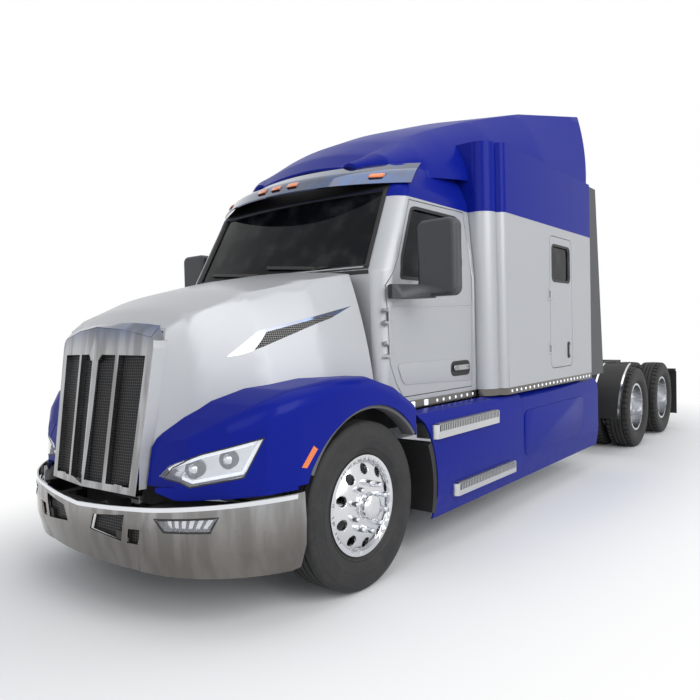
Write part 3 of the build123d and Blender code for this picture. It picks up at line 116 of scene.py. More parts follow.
class Value:
    """A socket with operators: an expression on values adds its Math nodes."""

    def __init__(self, nodes, socket):
        self.nodes, self.socket = nodes, socket

    def op(self, operation, *others):
        inputs = dict(enumerate((self,) + others))
        return self.nodes.node("ShaderNodeMath", {"operation": operation}, inputs)

    def __add__(self, other):
        return self.op("ADD", other)

    def __sub__(self, other):
        return self.op("SUBTRACT", other)

    def __rsub__(self, other):
        return self.nodes.node("ShaderNodeMath", {"operation": "SUBTRACT"}, {0: other, 1: self})

    def __mul__(self, other):
        return self.op("MULTIPLY", other)

    __radd__ = __add__
    __rmul__ = __mul__

    def above(self, edge, soft):
        """0 below the edge and 1 above it, over a soft width."""
        inputs = {"Value": self, "From Min": edge - soft / 2, "From Max": edge + soft / 2}
        return self.nodes.node("ShaderNodeMapRange", {"interpolation_type": "SMOOTHSTEP"}, inputs)


class Nodes:
    """A node tree that expressions add to."""

    def __init__(self, tree):
        self.tree = tree
        tree.nodes.clear()

    def node(self, kind, settings, inputs, out=0):
        made = self.tree.nodes.new(kind)
        for key, value in settings.items():
            setattr(made, key, value)
        for key, value in inputs.items():
            self.feed(made.inputs[key], value)
        return Value(self, made.outputs[out])

    def feed(self, socket, value):
        if isinstance(value, Value):
            self.tree.links.new(value.socket, socket)
        else:
            socket.default_value = value

    def seen(self):
        """1 for rays from the camera, from a mirror and through glass."""
        kinds = ("Camera", "Glossy", "Transmission")
        camera, glossy, through = (self.node("ShaderNodeLightPath", {}, {}, f"Is {kind} Ray") for kind in kinds)
        return camera.op("MAXIMUM", glossy).op("MAXIMUM", through)


class Finish(Nodes):
    """A material made of one Principled shader and the nodes that feed it."""

    def __init__(self, name, **constants):
        self.material = bpy.data.materials.new(name)
        self.material.use_nodes = True
        super().__init__(self.material.node_tree)
        self.shader = self.tree.nodes.new("ShaderNodeBsdfPrincipled")
        self.output = self.tree.nodes.new("ShaderNodeOutputMaterial")
        self.tree.links.new(self.shader.outputs[0], self.output.inputs[0])
        self.set(**constants)

    def set(self, **sockets):
        for key, value in sockets.items():
            name = key.replace("_", " ")
            if not isinstance(value, Value) and name in ("Base Color", "Emission Color") and len(value) == 3:
                value = (*value, 1)
            self.feed(self.shader.inputs[name], value)
        return self

    def place(self, **mapping):
        spot = self.node("ShaderNodeTexCoord", {}, {}, "Object")
        if mapping:
            spot = self.node("ShaderNodeMapping", {}, {"Vector": spot, **mapping})
        return spot

    def axis(self, name):
        return self.node("ShaderNodeSeparateXYZ", {}, {0: self.place()}, name)

    def noise(self, scale, detail=2.0, rough=0.5, **mapping):
        inputs = {"Vector": self.place(**mapping), "Scale": scale, "Detail": detail, "Roughness": rough}
        return self.node("ShaderNodeTexNoise", {}, inputs)

    def mix(self, factor, first, second):
        """A colour between two colours."""
        rgba = [value if isinstance(value, Value) else (*value, 1) for value in (first, second)]
        return self.node("ShaderNodeMix", {"data_type": "RGBA"}, {0: factor, 6: rgba[0], 7: rgba[1]}, 2)

    def bump(self, height, strength, distance):
        normal = self.node("ShaderNodeBump", {}, {"Height": height, "Strength": strength, "Distance": distance})
        return self.set(Normal=normal)

    def whiten(self, factor):
        """Plain white in place of the shader where the factor is 1."""
        white = self.node("ShaderNodeEmission", {}, {"Color": (1, 1, 1, 1), "Strength": 1.0})
        mixed = self.node("ShaderNodeMixShader", {}, {0: factor, 1: Value(self, self.shader.outputs[0]), 2: white})
        self.tree.links.new(mixed.socket, self.output.inputs[0])
        return self


def shade(rgb, factor):
    return tuple(min(1.0, c * factor) for c in rgb)


def paint(name, rgb, metallic, roughness, coat):
    """Metallic paint under clear coat, with fine flake and a trace of road dust low down."""
    f = Finish(name, Metallic=metallic, Coat_Roughness=0.20, Coat_IOR=1.35, IOR=1.3, Specular_IOR_Level=0.05)
    flake = f.noise(900, 1.0)
    cloud = f.noise(1.3, 3.0)
    tone = f.mix(flake * 0.6 + cloud * 0.4, shade(rgb, 0.9), shade(rgb, 1.1))
    low = 1 - f.axis("Z").above(0.5, 0.5)
    dust = low * f.noise(9, 4.0) * 0.12
    f.set(Base_Color=f.mix(dust, tone, (0.25, 0.24, 0.24)), Roughness=roughness + cloud * 0.05 + dust * 0.4)
    f.set(Coat_Weight=coat - dust * coat)
    return f.bump(f.noise(260, 1.0), 0.03, 0.0004).material


def chrome_with_painted_reflections(name, low, middle, high):
    """Chrome plate with painted reflections: warm, dull ground low down, cool sky higher up, upright streaks; and
    water marks.
    """
    f = Finish(name, Metallic=1.0)
    height = f.axis("Z")
    # painted reflection: warm dark ground colour low down, grey in the middle, dark blue sky colour above 1.55 m
    tone = f.mix(height.above(0.60, 0.35), low, middle)
    tone = f.mix(height.above(1.55, 0.2), tone, high)
    # painted reflection streaks: upright bands that darken the chrome towards a deeper ground colour
    painted_reflection_streaks = f.noise(5, 2.0, 0.5, Scale=(3.0, 1.5, 0.4)).above(0.5, 0.22)
    tone = f.mix(painted_reflection_streaks * 0.5, tone, shade(low, 0.55))
    haze = f.noise(3, 4.0)
    spots = f.noise(24, 4.0, 0.7).above(0.62, 0.2) * (1 - height.above(0.55, 0.5))
    f.set(Base_Color=f.mix(haze * 0.35 + spots * 0.35, tone, shade(low, 0.7)))
    f.set(Roughness=0.04 + haze * 0.06 + spots * 0.12)
    return f.bump(f.noise(300, 3.0), 0.03, 0.0004).material


def metal(name, rgb, roughness, grain, stretch=(1, 1, 1)):
    """Bright metal with fine polishing marks along one direction."""
    f = Finish(name, Metallic=1.0)
    marks = f.noise(grain, 3.0, 0.6, Scale=stretch)
    haze = f.noise(2.5, 3.0)
    f.set(Base_Color=f.mix(haze, shade(rgb, 0.85), shade(rgb, 1.08)), Roughness=roughness + marks * 0.08 + haze * 0.04)
    return f.bump(marks, 0.04, 0.0005).material


def moulding(name, rgb, roughness, grain=420):
    """Moulded plastic with a fine leather-like grain."""
    f = Finish(name)
    cells = f.node("ShaderNodeTexVoronoi", {}, {"Vector": f.place(), "Scale": grain})
    cloud = f.noise(3, 3.0)
    f.set(Base_Color=f.mix(cloud, shade(rgb, 0.8), shade(rgb, 1.25)), Roughness=roughness + cloud * 0.1)
    return f.bump(cells, 0.25, 0.0006).material


def rubber(name, rgb):
    """Tyre rubber, greyer where dust has settled."""
    f = Finish(name, Specular_IOR_Level=0.35)
    dust = f.noise(14, 5.0, 0.7).above(0.56, 0.4) * 0.35
    f.set(Base_Color=f.mix(dust, rgb, (0.075, 0.072, 0.068)), Roughness=0.58 + dust * 0.5)
    return f.bump(f.noise(340, 2.0), 0.3, 0.0006).material


def casting(name, rgb, roughness=0.55):
    """Painted castings and pressed steel with a rough skin."""
    f = Finish(name, Specular_IOR_Level=0.4)
    skin = f.noise(70, 5.0, 0.65)
    dirt = f.noise(4, 4.0).above(0.55, 0.3) * 0.5
    f.set(Base_Color=f.mix(dirt, rgb, (0.09, 0.08, 0.07)), Roughness=roughness + skin * 0.2)
    return f.bump(skin, 0.3, 0.002).material


def lens(name, rgb, alpha, ribs=0):
    """A lamp lens, with fine moulded ribs where asked."""
    f = Finish(name, Roughness=0.05, Coat_Weight=1.0, IOR=1.5, Alpha=alpha)
    tone = f.noise(40, 2.0)
    f.set(Base_Color=f.mix(tone, shade(rgb, 0.9), shade(rgb, 1.1)))
    if ribs:
        f.bump((f.axis("X") * ribs).op("SINE"), 0.3, 0.001)
    return f.material


def glowing(name, rgb, strength):
    """A lit light guide."""
    f = Finish(name, Roughness=0.2, Emission_Strength=strength, Coat_Weight=1.0)
    tone = f.mix(f.noise(30, 2.0), shade(rgb, 0.9), rgb)
    return f.set(Base_Color=tone, Emission_Color=tone).material


def tinted(name, rgb, alpha):
    """Tinted safety glass with a faint dust film."""
    f = Finish(name, Roughness=0.02, IOR=1.45, Specular_IOR_Level=0.12)
    film = f.noise(6, 4.0).above(0.6, 0.4) * 0.06
    f.set(Base_Color=f.mix(film, rgb, (0.4, 0.4, 0.4)), Alpha=alpha + film)
    return f.material


def woven(name, rgb):
    """Plain woven cloth."""
    f = Finish(name, Sheen_Weight=0.3, Roughness=0.9)
    warp = (f.axis("X") * 2600).op("SINE")
    weft = (f.axis("Z") * 2600).op("SINE") + (f.axis("Y") * 2600).op("SINE")
    f.set(Base_Color=f.mix(f.noise(30, 3.0), shade(rgb, 0.75), shade(rgb, 1.3)))
    return f.bump(warp * weft, 0.25, 0.0006).material


def screen(name, wire_rgb, pitch, axes):
    """Black woven screen: small open cells in a dark sheet."""
    f = Finish(name, Metallic=0.3)
    across, up = ((f.axis(axis) * (math.pi / pitch)).op("SINE").op("ABSOLUTE") for axis in axes)
    wire = 1 - across.op("MINIMUM", up).above(0.42, 0.12)
    f.set(Base_Color=f.mix(wire, (0.002, 0.002, 0.002), wire_rgb), Roughness=0.75 - wire * 0.35)
    return f.bump(wire, 0.8, 0.003).material


FINISHES = {}


def finishes():
    """Every finish by name, made once."""
    if not FINISHES:
        c = bpy.context.scene.truck_colours
        recipes = {
            "silver_paint": (paint, c.silver, 0.35, 0.42, 0.5),
            "blue_paint": (paint, c.blue, 0.05, 0.45, 0.28),
            # the chrome's three tones are painted reflections: ground low, grey middle, blue sky high
            "chrome": (chrome_with_painted_reflections, (0.22, 0.205, 0.19), (0.46, 0.47, 0.49), (0.09, 0.135, 0.26)),
            "polished_aluminium": (metal, c.alloy, 0.12, 240, (0.2, 1, 1)),
            "tread_aluminium": (metal, (0.60, 0.61, 0.62), 0.30, 160),
            "tyre_rubber": (rubber, c.rubber),
            "tinted_glass": (tinted, (0.004, 0.005, 0.007), 0.93),
            "lamp_clear": (lens, (0.82, 0.85, 0.90), 0.16),
            "lamp_amber": (lens, c.amber, 1.0, 900),
            "lamp_red": (lens, (0.40, 0.006, 0.006), 1.0, 700),
            "mesh_black": (screen, (0.045, 0.045, 0.048), 0.016, "XZ"),
            "dark_plastic": (moulding, (0.035, 0.037, 0.043), 0.42),
            "black_plastic": (moulding, (0.010, 0.010, 0.011), 0.5),
            "frame_paint": (casting, (0.014, 0.014, 0.015)),
            "cast_metal": (casting, (0.035, 0.035, 0.037), 0.5),
            "trim_grey": (moulding, (0.10, 0.10, 0.105), 0.6),
            "upholstery": (woven, c.cloth),
            "reflector": (metal, (0.78, 0.80, 0.84), 0.10, 200),
            "light_guide": (glowing, (0.92, 0.95, 1.0), 0.55),
            "mirror_glass": (metal, (0.80, 0.82, 0.84), 0.01, 400),
            # painted reflection: a dark brownish copy of the chrome, standing for the ground that the sill strips
            # reflect
            "sill_plate": (metal, (0.16, 0.15, 0.14), 0.10, 300),
            "vent_mesh": (screen, (0.16, 0.16, 0.155), 0.013, "YZ"),
        }
        FINISHES.update({name: make(name, *values) for name, (make, *values) in recipes.items()})
    return FINISHES


# Modelling

@contextmanager
def editing(piece, everything=True):
    """Edit mode on one piece alone, with all of it selected or only the faces picked before."""
    alone(piece)
    bpy.ops.object.mode_set(mode="EDIT")
    bpy.ops.mesh.select_mode(type="FACE")
    if everything:
        bpy.ops.mesh.select_mode(type="VERT")
        bpy.ops.mesh.select_all(action="SELECT")
    yield
    bpy.ops.object.mode_set(mode="OBJECT")


def alone(*pieces):
    bpy.ops.object.select_all(action="DESELECT")
    for piece in pieces:
        piece.select_set(True)
    bpy.context.view_layer.objects.active = pieces[0]


def start(kind, name, **settings):
    """A new primitive, alone in the selection."""
    bpy.ops.object.select_all(action="DESELECT")
    getattr(bpy.ops.mesh, f"primitive_{kind}_add")(**settings)
    piece = bpy.context.object
    piece.name = piece.data.name = name
    return piece


def ring(name, points, filled=True):
    """One face, or a loop of edges, through points."""
    piece = start("circle", name, vertices=len(points), fill_type="NGON" if filled else "NOTHING")
    for vertex, point in zip(piece.data.vertices, points):
        vertex.co = point
    return piece


def smooth(piece, angle=35):
    alone(piece)
    bpy.ops.object.shade_smooth_by_angle(angle=math.radians(angle))
    return piece


def thicken(piece, push, bevel, segments=2):
    """Pushes a flat piece out to a slab and eases its edges."""
    with editing(piece):
        bpy.ops.mesh.extrude_region_move(TRANSFORM_OT_translate={"value": push})
        bpy.ops.mesh.select_all(action="SELECT")
        bpy.ops.mesh.normals_make_consistent(inside=False)
        if bevel:
            bpy.ops.mesh.bevel(offset=bevel, segments=segments, affect="EDGES")
    return smooth(piece)


def plate(name, points, push, bevel=0.0, segments=2):
    """A slab with an outline through points."""
    return thicken(ring(name, points), push, bevel, segments)


def band(name, points, width, push, bevel=0.0):
    """A slab that runs along the inside of an outline."""
    piece = ring(name, points)
    with editing(piece):
        bpy.ops.mesh.inset(thickness=width)
        bpy.ops.mesh.delete(type="FACE")
    return thicken(piece, push, bevel, 1)


def lathe(name, profile, steps):
    """A closed profile of (along the X axis, radius) points, spun round that axis."""
    piece = ring(name, [Vector((x, 0, radius)) for x, radius in profile], filled=False)
    with editing(piece):
        bpy.ops.mesh.spin(steps=steps, angle=2 * math.pi, center=(0, 0, 0), axis=(1, 0, 0))
        bpy.ops.mesh.select_all(action="SELECT")
        bpy.ops.mesh.remove_doubles(threshold=0.00002)
        bpy.ops.mesh.normals_make_consistent(inside=False)
    return smooth(piece)


def joined(name, pieces):
    """Several pieces as one mesh."""
    alone(*pieces)
    bpy.ops.object.join()
    pieces[0].name = pieces[0].data.name = name
    return pieces[0]


def copied(piece, name, matrix):
    """A copy with a mesh of its own, carried to its place in that mesh."""
    twin = piece.copy()
    twin.data = piece.data.copy()
    twin.name = twin.data.name = name
    bpy.context.scene.collection.objects.link(twin)
    twin.data.transform(matrix)
    return twin


def flipped(piece, name):
    """The same piece on the truck's right side."""
    twin = copied(piece, name, Matrix.Scale(-1, 4, OUTWARD))
    with editing(twin):
        bpy.ops.mesh.normals_make_consistent(inside=False)
    return twin


def discard(piece):
    bpy.data.objects.remove(piece)


def pick(piece, test):
    """Selects only the faces that pass a test."""
    mesh = piece.data
    for part in (mesh.vertices, mesh.edges):
        part.foreach_set("select", [False] * len(part))
    mesh.polygons.foreach_set("select", [test(face) for face in mesh.polygons])


def modified(piece, kind, **settings):
    """Adds a modifier and applies it."""
    modifier = piece.modifiers.new(kind.title(), kind)
    for key, value in settings.items():
        setattr(modifier, key, value)
    alone(piece)
    bpy.ops.object.modifier_apply(modifier=modifier.name)
    return piece


def along(points, share):
    """The point at a share of the length of a run of points."""
    runs = [(b - a).length for a, b in zip(points, points[1:])]
    left = share * sum(runs)
    for a, b, run in zip(points, points[1:], runs):
        if left <= run:
            return a.lerp(b, left / run)
        left -= run
    return points[-1].copy()


def patch(name, low, high, columns, rows):
    """A sheet of quads between two lines of points."""
    piece = start("grid", name, x_subdivisions=columns, y_subdivisions=rows, size=1)
    for vertex in piece.data.vertices:
        across, up = vertex.co.x + 0.5, vertex.co.y + 0.5
        vertex.co = along(low, across).lerp(along(high, across), up)
    return piece


def surface(*names):
    """The skin of some CAD nodes, for laying pieces on."""
    places, faces = [], []
    for name in names:
        mesh = NODES[name].data
        first = len(places)
        places += [vertex.co.copy() for vertex in mesh.vertices]
        faces += [[first + i for i in face.vertices] for face in mesh.polygons]
    return BVHTree.FromPolygons(places, faces)


REACH = 2.0                     # how far off a point starts before it is laid on a surface


def laid(skin, points, way, lift=0.0):
    """Points carried along a way on to a surface, and back off it by a lift."""
    way = Vector(way).normalized()
    landed = []
    for point in points:
        place = skin.ray_cast(point - way * REACH, way)[0]
        landed.append((place or skin.find_nearest(point)[0]) - way * lift)
    return landed


def drape(piece, skin, way, lift):
    """Lays every vertex of a sheet on a surface."""
    spots = laid(skin, [vertex.co.copy() for vertex in piece.data.vertices], way, lift)
    for vertex, spot in zip(piece.data.vertices, spots):
        vertex.co = spot
    return piece


def sheet(name, low, high, grid, thick, skin=None, way=None, lift=0.0):
    """A thin slab between two lines of points, laid on a surface where one is given."""
    piece = patch(name, low, high, *grid)
    if skin is not None:
        drape(piece, skin, way, lift)
    return modified(piece, "SOLIDIFY", thickness=thick)


def dense(points, gap):
    """A closed outline with more points along its long sides."""
    finer = []
    for a, b in zip(points, points[1:] + points[:1]):
        count = max(1, round((b - a).length / gap))
        finer += [a.lerp(b, i / count) for i in range(count)]
    return finer


def rounded(points, radius, steps=4):
    """A closed outline with its corners rounded off."""
    eased = []
    for before, here, after in zip(points[-1:] + points[:-1], points, points[1:] + points[:1]):
        ends = [here + (to - here).normalized() * min(radius, (to - here).length * 0.49) for to in (before, after)]
        for i in range(steps + 1):
            t = i / steps
            eased.append(ends[0] * (1 - t) ** 2 + here * (2 * t * (1 - t)) + ends[1] * t ** 2)
    return eased


def side_view(x, points):
    return [at(x, station, z) for station, z in points]


def oblong(x, s0, s1, z0, z1):
    """A side-view rectangle of points."""
    return side_view(x, [(s0, z0), (s1, z0), (s1, z1), (s0, z1)])


def level(x0, x1, s0, s1, z):
    """A level rectangle of points."""
    return [at(x, s, z) for x, s in ((x0, s0), (x1, s0), (x1, s1), (x0, s1))]


def upright(x0, x1, z0, z1, station=0.0):
    """A rectangle of points that faces along the truck."""
    return [at(x, station, z) for x, z in ((x0, z0), (x1, z0), (x1, z1), (x0, z1))]


def front_points(points):
    return [at(x, 0, z) for x, z in points]


def grown(points, amount):
    """A side-view outline moved outwards from its middle by about an amount."""
    middle = sum(points, Vector()) / len(points)
    wide = max(abs(p.y - middle.y) for p in points)
    tall = max(abs(p.z - middle.z) for p in points)
    scale = Vector((1, 1 + amount / wide, 1 + amount / tall))
    return [middle + (p - middle) * scale for p in points]


def dress(piece, body, slot, finish=None, stands_for=()):
    """Gives a finished piece the material of its finish or slot and its body, and hides the nodes it stands for."""
    piece.data.materials.clear()
    piece.data.materials.append(finishes()[finish or slot])
    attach(piece, body)
    if stands_for:
        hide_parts(*stands_for)
    return piece


def both_sides(piece, stem, bodies, slot, finish=None):
    """A left piece and its twin on the right, each on its own body."""
    left, right = (bodies, bodies) if isinstance(bodies, str) else bodies
    twin = flipped(piece, f"{stem}_right")
    piece.name = piece.data.name = f"{stem}_left"
    dress(piece, left, slot, finish)
    dress(twin, right, slot, finish)


class TRUCK_OT_finishes(bpy.types.Operator):
    """Gives every CAD node the finish of its slot"""
    bl_idname = "truck.finishes"
    bl_label = "Finishes"

    def execute(self, context):
        made = finishes()
        for part in frame["record"]["subparts"]:
            node = NODES[part["node"]]
            node.data.materials.clear()
            node.data.materials.append(made[part["material_slot"]])
        return {"FINISHED"}


# Panels

PANELS = ["hood_shell", "hood_vents", "fenders", "headlamps", "fender_lamps", "grille_surround", "bumper", "fog_lamps",
          "cab_shell", "cab_roof", "sleeper_shell", "sleeper_upper", "roof_fairing", "chassis_fairings", "step_treads",
          "fuel_tanks", "splash_guards", "fixed_glass", "dashboard", "fifth_wheel_plate"]
MOVING_PANELS = ["door_left", "door_right", "door_left_glass", "door_right_glass", "sleeper_hatch", "mirror_left",
                 "mirror_right", "front_wheel_left", "front_wheel_right"]
MOVING_PANELS += [f"drive_wheels_{n}_{side}" for n in (1, 2) for side in SIDES]
PANEL_EDGE = 28                 # degrees, past which an edge stays crisp


class TRUCK_OT_panels(bpy.types.Operator):
    """Merged copies of the body panels that shade as one smooth skin"""
    bl_idname = "truck.panels"
    bl_label = "Body panels"

    def execute(self, context):
        slots = {part["node"]: part["material_slot"] for part in frame["record"]["subparts"]}
        for name in PANELS + MOVING_PANELS:
            panel = copied(NODES[name], f"{name}_skin", Matrix.Identity(4))
            panel.parent = None
            for key in list(panel.keys()):
                del panel[key]
            with editing(panel):
                bpy.ops.mesh.remove_doubles(threshold=0.00002)
            smooth(panel, PANEL_EDGE)
            modified(panel, "WEIGHTED_NORMAL", keep_sharp=True)
            dress(panel, NODES[name]["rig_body"], slots[name], stands_for=[name])
        return {"FINISHED"}


# Wheels

BEAD_TO_CROWN = [
    # from the tyre's middle, radius
    (0.103, 0.286), (0.103, 0.303), (0.112, 0.312), (0.121, 0.324), (0.119, 0.329), (0.127, 0.338), (0.1335, 0.347),
    (0.1335, 0.351), (0.1365, 0.358), (0.1445, 0.388), (0.1445, 0.394), (0.1435, 0.397), (0.145, 0.405),
    (0.1445, 0.425), (0.1425, 0.447), (0.1405, 0.462), (0.1375, 0.465), (0.134, 0.478), (0.128, 0.489),
    (0.124, 0.4945), (0.115, 0.5015), (0.075, 0.505), (0.0745, 0.491), (0.0645, 0.491), (0.064, 0.5055),
    (0.026, 0.5065), (0.0255, 0.4925), (0.0165, 0.4925), (0.016, 0.5068),
]
TYRE_STEPS = {False: 120, True: 180}
NOTCH_EVERY = 4
SHOULDER = (0.076, 0.128, 0.490)      # across from, across to, and the least radius of the notched shoulder
AXLE_HEIGHT = 0.507
FRONT_AXLE, DRIVE_STATIONS = 1.270, (6.930, 8.250)
FRONT_TYRE, DUAL_TYRES = 1.040, (1.090, 0.750)
STEER_FACE, DRIVE_FACE = 1.178, 0.940


def tyre(name, notch):
    """A tyre about the X axis, with notched shoulders where a notch depth is given."""
    steps = TYRE_STEPS[notch > 0]
    piece = lathe(name, BEAD_TO_CROWN + [(-x, radius) for x, radius in BEAD_TO_CROWN[::-1]], steps)
    if notch:
        inner, outer, least = SHOULDER

        def notched(face):
            c = face.center
            turn = math.floor(math.atan2(c.z, c.y) / (2 * math.pi) * steps)
            return turn % NOTCH_EVERY == 0 and inner < abs(c.x) < outer and math.hypot(c.y, c.z) > least
        pick(piece, notched)
        with editing(piece, everything=False):
            bpy.ops.mesh.extrude_region_shrink_fatten(TRANSFORM_OT_shrink_fatten={"value": -notch})
    return smooth(piece, 30)


class TRUCK_OT_tyres(bpy.types.Operator):
    """Ribbed front tyres and notched drive tyres"""
    bl_idname = "truck.tyres"
    bl_label = "Tyres"

    def execute(self, context):
        ribbed = tyre("ribbed", 0)
        notched = tyre("notched", context.scene.truck_sizes.notch)
        for side, sign in zip(SIDES, (1, -1)):
            spot = Matrix.Translation(at(sign * FRONT_TYRE, FRONT_AXLE, AXLE_HEIGHT))
            piece = copied(ribbed, f"front_tyre_{side}_tread", spot)
            dress(piece, f"front_wheel_{side}", "tyre_rubber", stands_for=[f"front_tyre_{side}"])
            for number, station in enumerate(DRIVE_STATIONS, 1):
                spots = [Matrix.Translation(at(sign * x, station, AXLE_HEIGHT)) for x in DUAL_TYRES]
                end = f"{number}_{side}"
                piece = joined(f"drive_tyres_{end}_tread", [copied(notched, "tyre", spot) for spot in spots])
                dress(piece, f"drive_wheels_{end}", "tyre_rubber", stands_for=[f"drive_tyres_{end}"])
        discard(ribbed)
        discard(notched)
        return {"FINISHED"}


NUT_PROFILE = [(-0.004, 0), (-0.004, 0.0195), (0.004, 0.0210), (0.010, 0.0190), (0.038, 0.0165), (0.047, 0.0120),
               (0.050, 0.0050), (0.051, 0)]
NUT_STEPS = 14


class TRUCK_OT_nuts(bpy.types.Operator):
    """Bright covers over the wheel nuts"""
    bl_idname = "truck.nuts"
    bl_label = "Wheel nuts"

    def execute(self, context):
        sizes = context.scene.truck_sizes
        nut = lathe("nut", NUT_PROFILE, NUT_STEPS)
        out = Matrix.Translation((0, 0, sizes.nut_circle))
        turns = [Matrix.Rotation(2 * math.pi * i / sizes.nuts, 4, "X") @ out for i in range(sizes.nuts)]
        circle = joined("circle", [copied(nut, "nut", turn) for turn in turns])
        wheels = [("front_wheel", STEER_FACE, FRONT_AXLE)]
        wheels += [(f"drive_wheels_{n}", DRIVE_FACE, station) for n, station in enumerate(DRIVE_STATIONS, 1)]
        for stem, face, station in wheels:
            piece = copied(circle, f"{stem}_nuts", Matrix.Translation(at(face, station, AXLE_HEIGHT)))
            both_sides(piece, f"{stem}_nuts", [f"{stem}_{side}" for side in SIDES], "polished_aluminium", "reflector")
        discard(nut)
        discard(circle)
        return {"FINISHED"}


# Lamps

LAMP_UPPER = [(0.008, 0.800), (0.078, 0.862), (0.270, 0.932), (0.612, 1.016)]
LAMP_LOWER = [(0.008, 0.800), (0.140, 0.782), (0.205, 0.752), (0.262, 0.764), (0.500, 0.808), (0.612, 1.016)]
LAMP_FACE = Vector((0.529, -0.849, 0))
LAMP_START, LAMP_RUN = (0.600, 0.190), (0.849, 0.529)      # across and back
PROJECTORS = [(0.215, 0.842), (0.405, 0.896)]
PROJECTOR_BOWL = [(-0.02, 0), (-0.02, 0.046), (0.014, 0.050), (0.020, 0.047), (0.010, 0.037), (0.004, 0)]
PROJECTOR_LENS = [(0.002, 0), (0.002, 0.035), (0.014, 0.033), (0.024, 0.024), (0.030, 0.012), (0.032, 0)]
PROJECTOR_AIM = Vector((0.25, -0.96, -0.02)).normalized()
BOWL_DEPTH, PROJECTOR_DEPTH, GUIDE_DEPTH = 0.062, 0.050, 0.034
GUIDE_PATH = [(0.150, 0.790), (0.207, 0.768), (0.262, 0.779), (0.488, 0.822), (0.590, 1.000)]
GUIDE_INNER = [(0.150, 0.806), (0.207, 0.785), (0.258, 0.795), (0.476, 0.836), (0.566, 0.990)]
BROW_PATH = [(0.060, 0.838), (0.110, 0.866), (0.270, 0.922), (0.560, 0.994)]
BROW_INNER = [(0.070, 0.826), (0.116, 0.852), (0.274, 0.906), (0.540, 0.972)]


def lamp_point(along_lamp, z):
    return at(*(first + run * along_lamp for first, run in zip(LAMP_START, LAMP_RUN)), z)


def lamp_points(points):
    return [lamp_point(*point) for point in points]


class TRUCK_OT_headlamps(bpy.types.Operator):
    """Bowls, projectors and light guides behind the headlamp lenses"""
    bl_idname = "truck.headlamps"
    bl_label = "Headlamps"

    def execute(self, context):
        skin = surface("headlamps")
        way = -LAMP_FACE
        low, high = lamp_points(LAMP_LOWER), lamp_points(LAMP_UPPER)
        middle = sum(low + high, Vector()) / len(low + high)
        edges = [[point.lerp(middle, 0.03) for point in run] for run in (low, high)]
        bowl = sheet("bowl", *edges, (30, 10), 0.003, skin, way, -BOWL_DEPTH)
        both_sides(bowl, "headlamp_bowl", "hood", "lamp_clear", "reflector")

        rims, lenses = [], []
        for spot in laid(skin, lamp_points(PROJECTORS), way, -PROJECTOR_DEPTH):
            place = Matrix.Translation(spot) @ PROJECTOR_AIM.to_track_quat("X", "Z").to_matrix().to_4x4()
            for made, profile in ((rims, PROJECTOR_BOWL), (lenses, PROJECTOR_LENS)):
                turned = lathe("projector", profile, 40)
                turned.data.transform(place)
                made.append(turned)
        both_sides(joined("rims", rims), "projector_rims", "hood", "black_plastic")
        both_sides(joined("lenses", lenses), "projector_lenses", "hood", "lamp_clear", "reflector")

        guides = []
        for paths in ((GUIDE_PATH, GUIDE_INNER), (BROW_PATH, BROW_INNER)):
            outer, inner = (lamp_points(path) for path in paths)
            guides.append(sheet("guide", outer, inner, (40, 2), 0.008, skin, way, -GUIDE_DEPTH))
        both_sides(joined("guides", guides), "headlamp_guides", "hood", "lamp_clear", "light_guide")

        edge = dense(low[:-1] + high[:0:-1], 0.03)
        seal = band("seal", laid(surface("headlamps", "fenders"), edge, way, -0.001), 0.007, LAMP_FACE * 0.0025)
        both_sides(seal, "headlamp_seal", "hood", "black_plastic")
        return {"FINISHED"}


FOG_OUTLINE = [(0.639, 0.607), (0.699, 0.538), (0.923, 0.543), (0.955, 0.625)]
FOG_FINS = 6


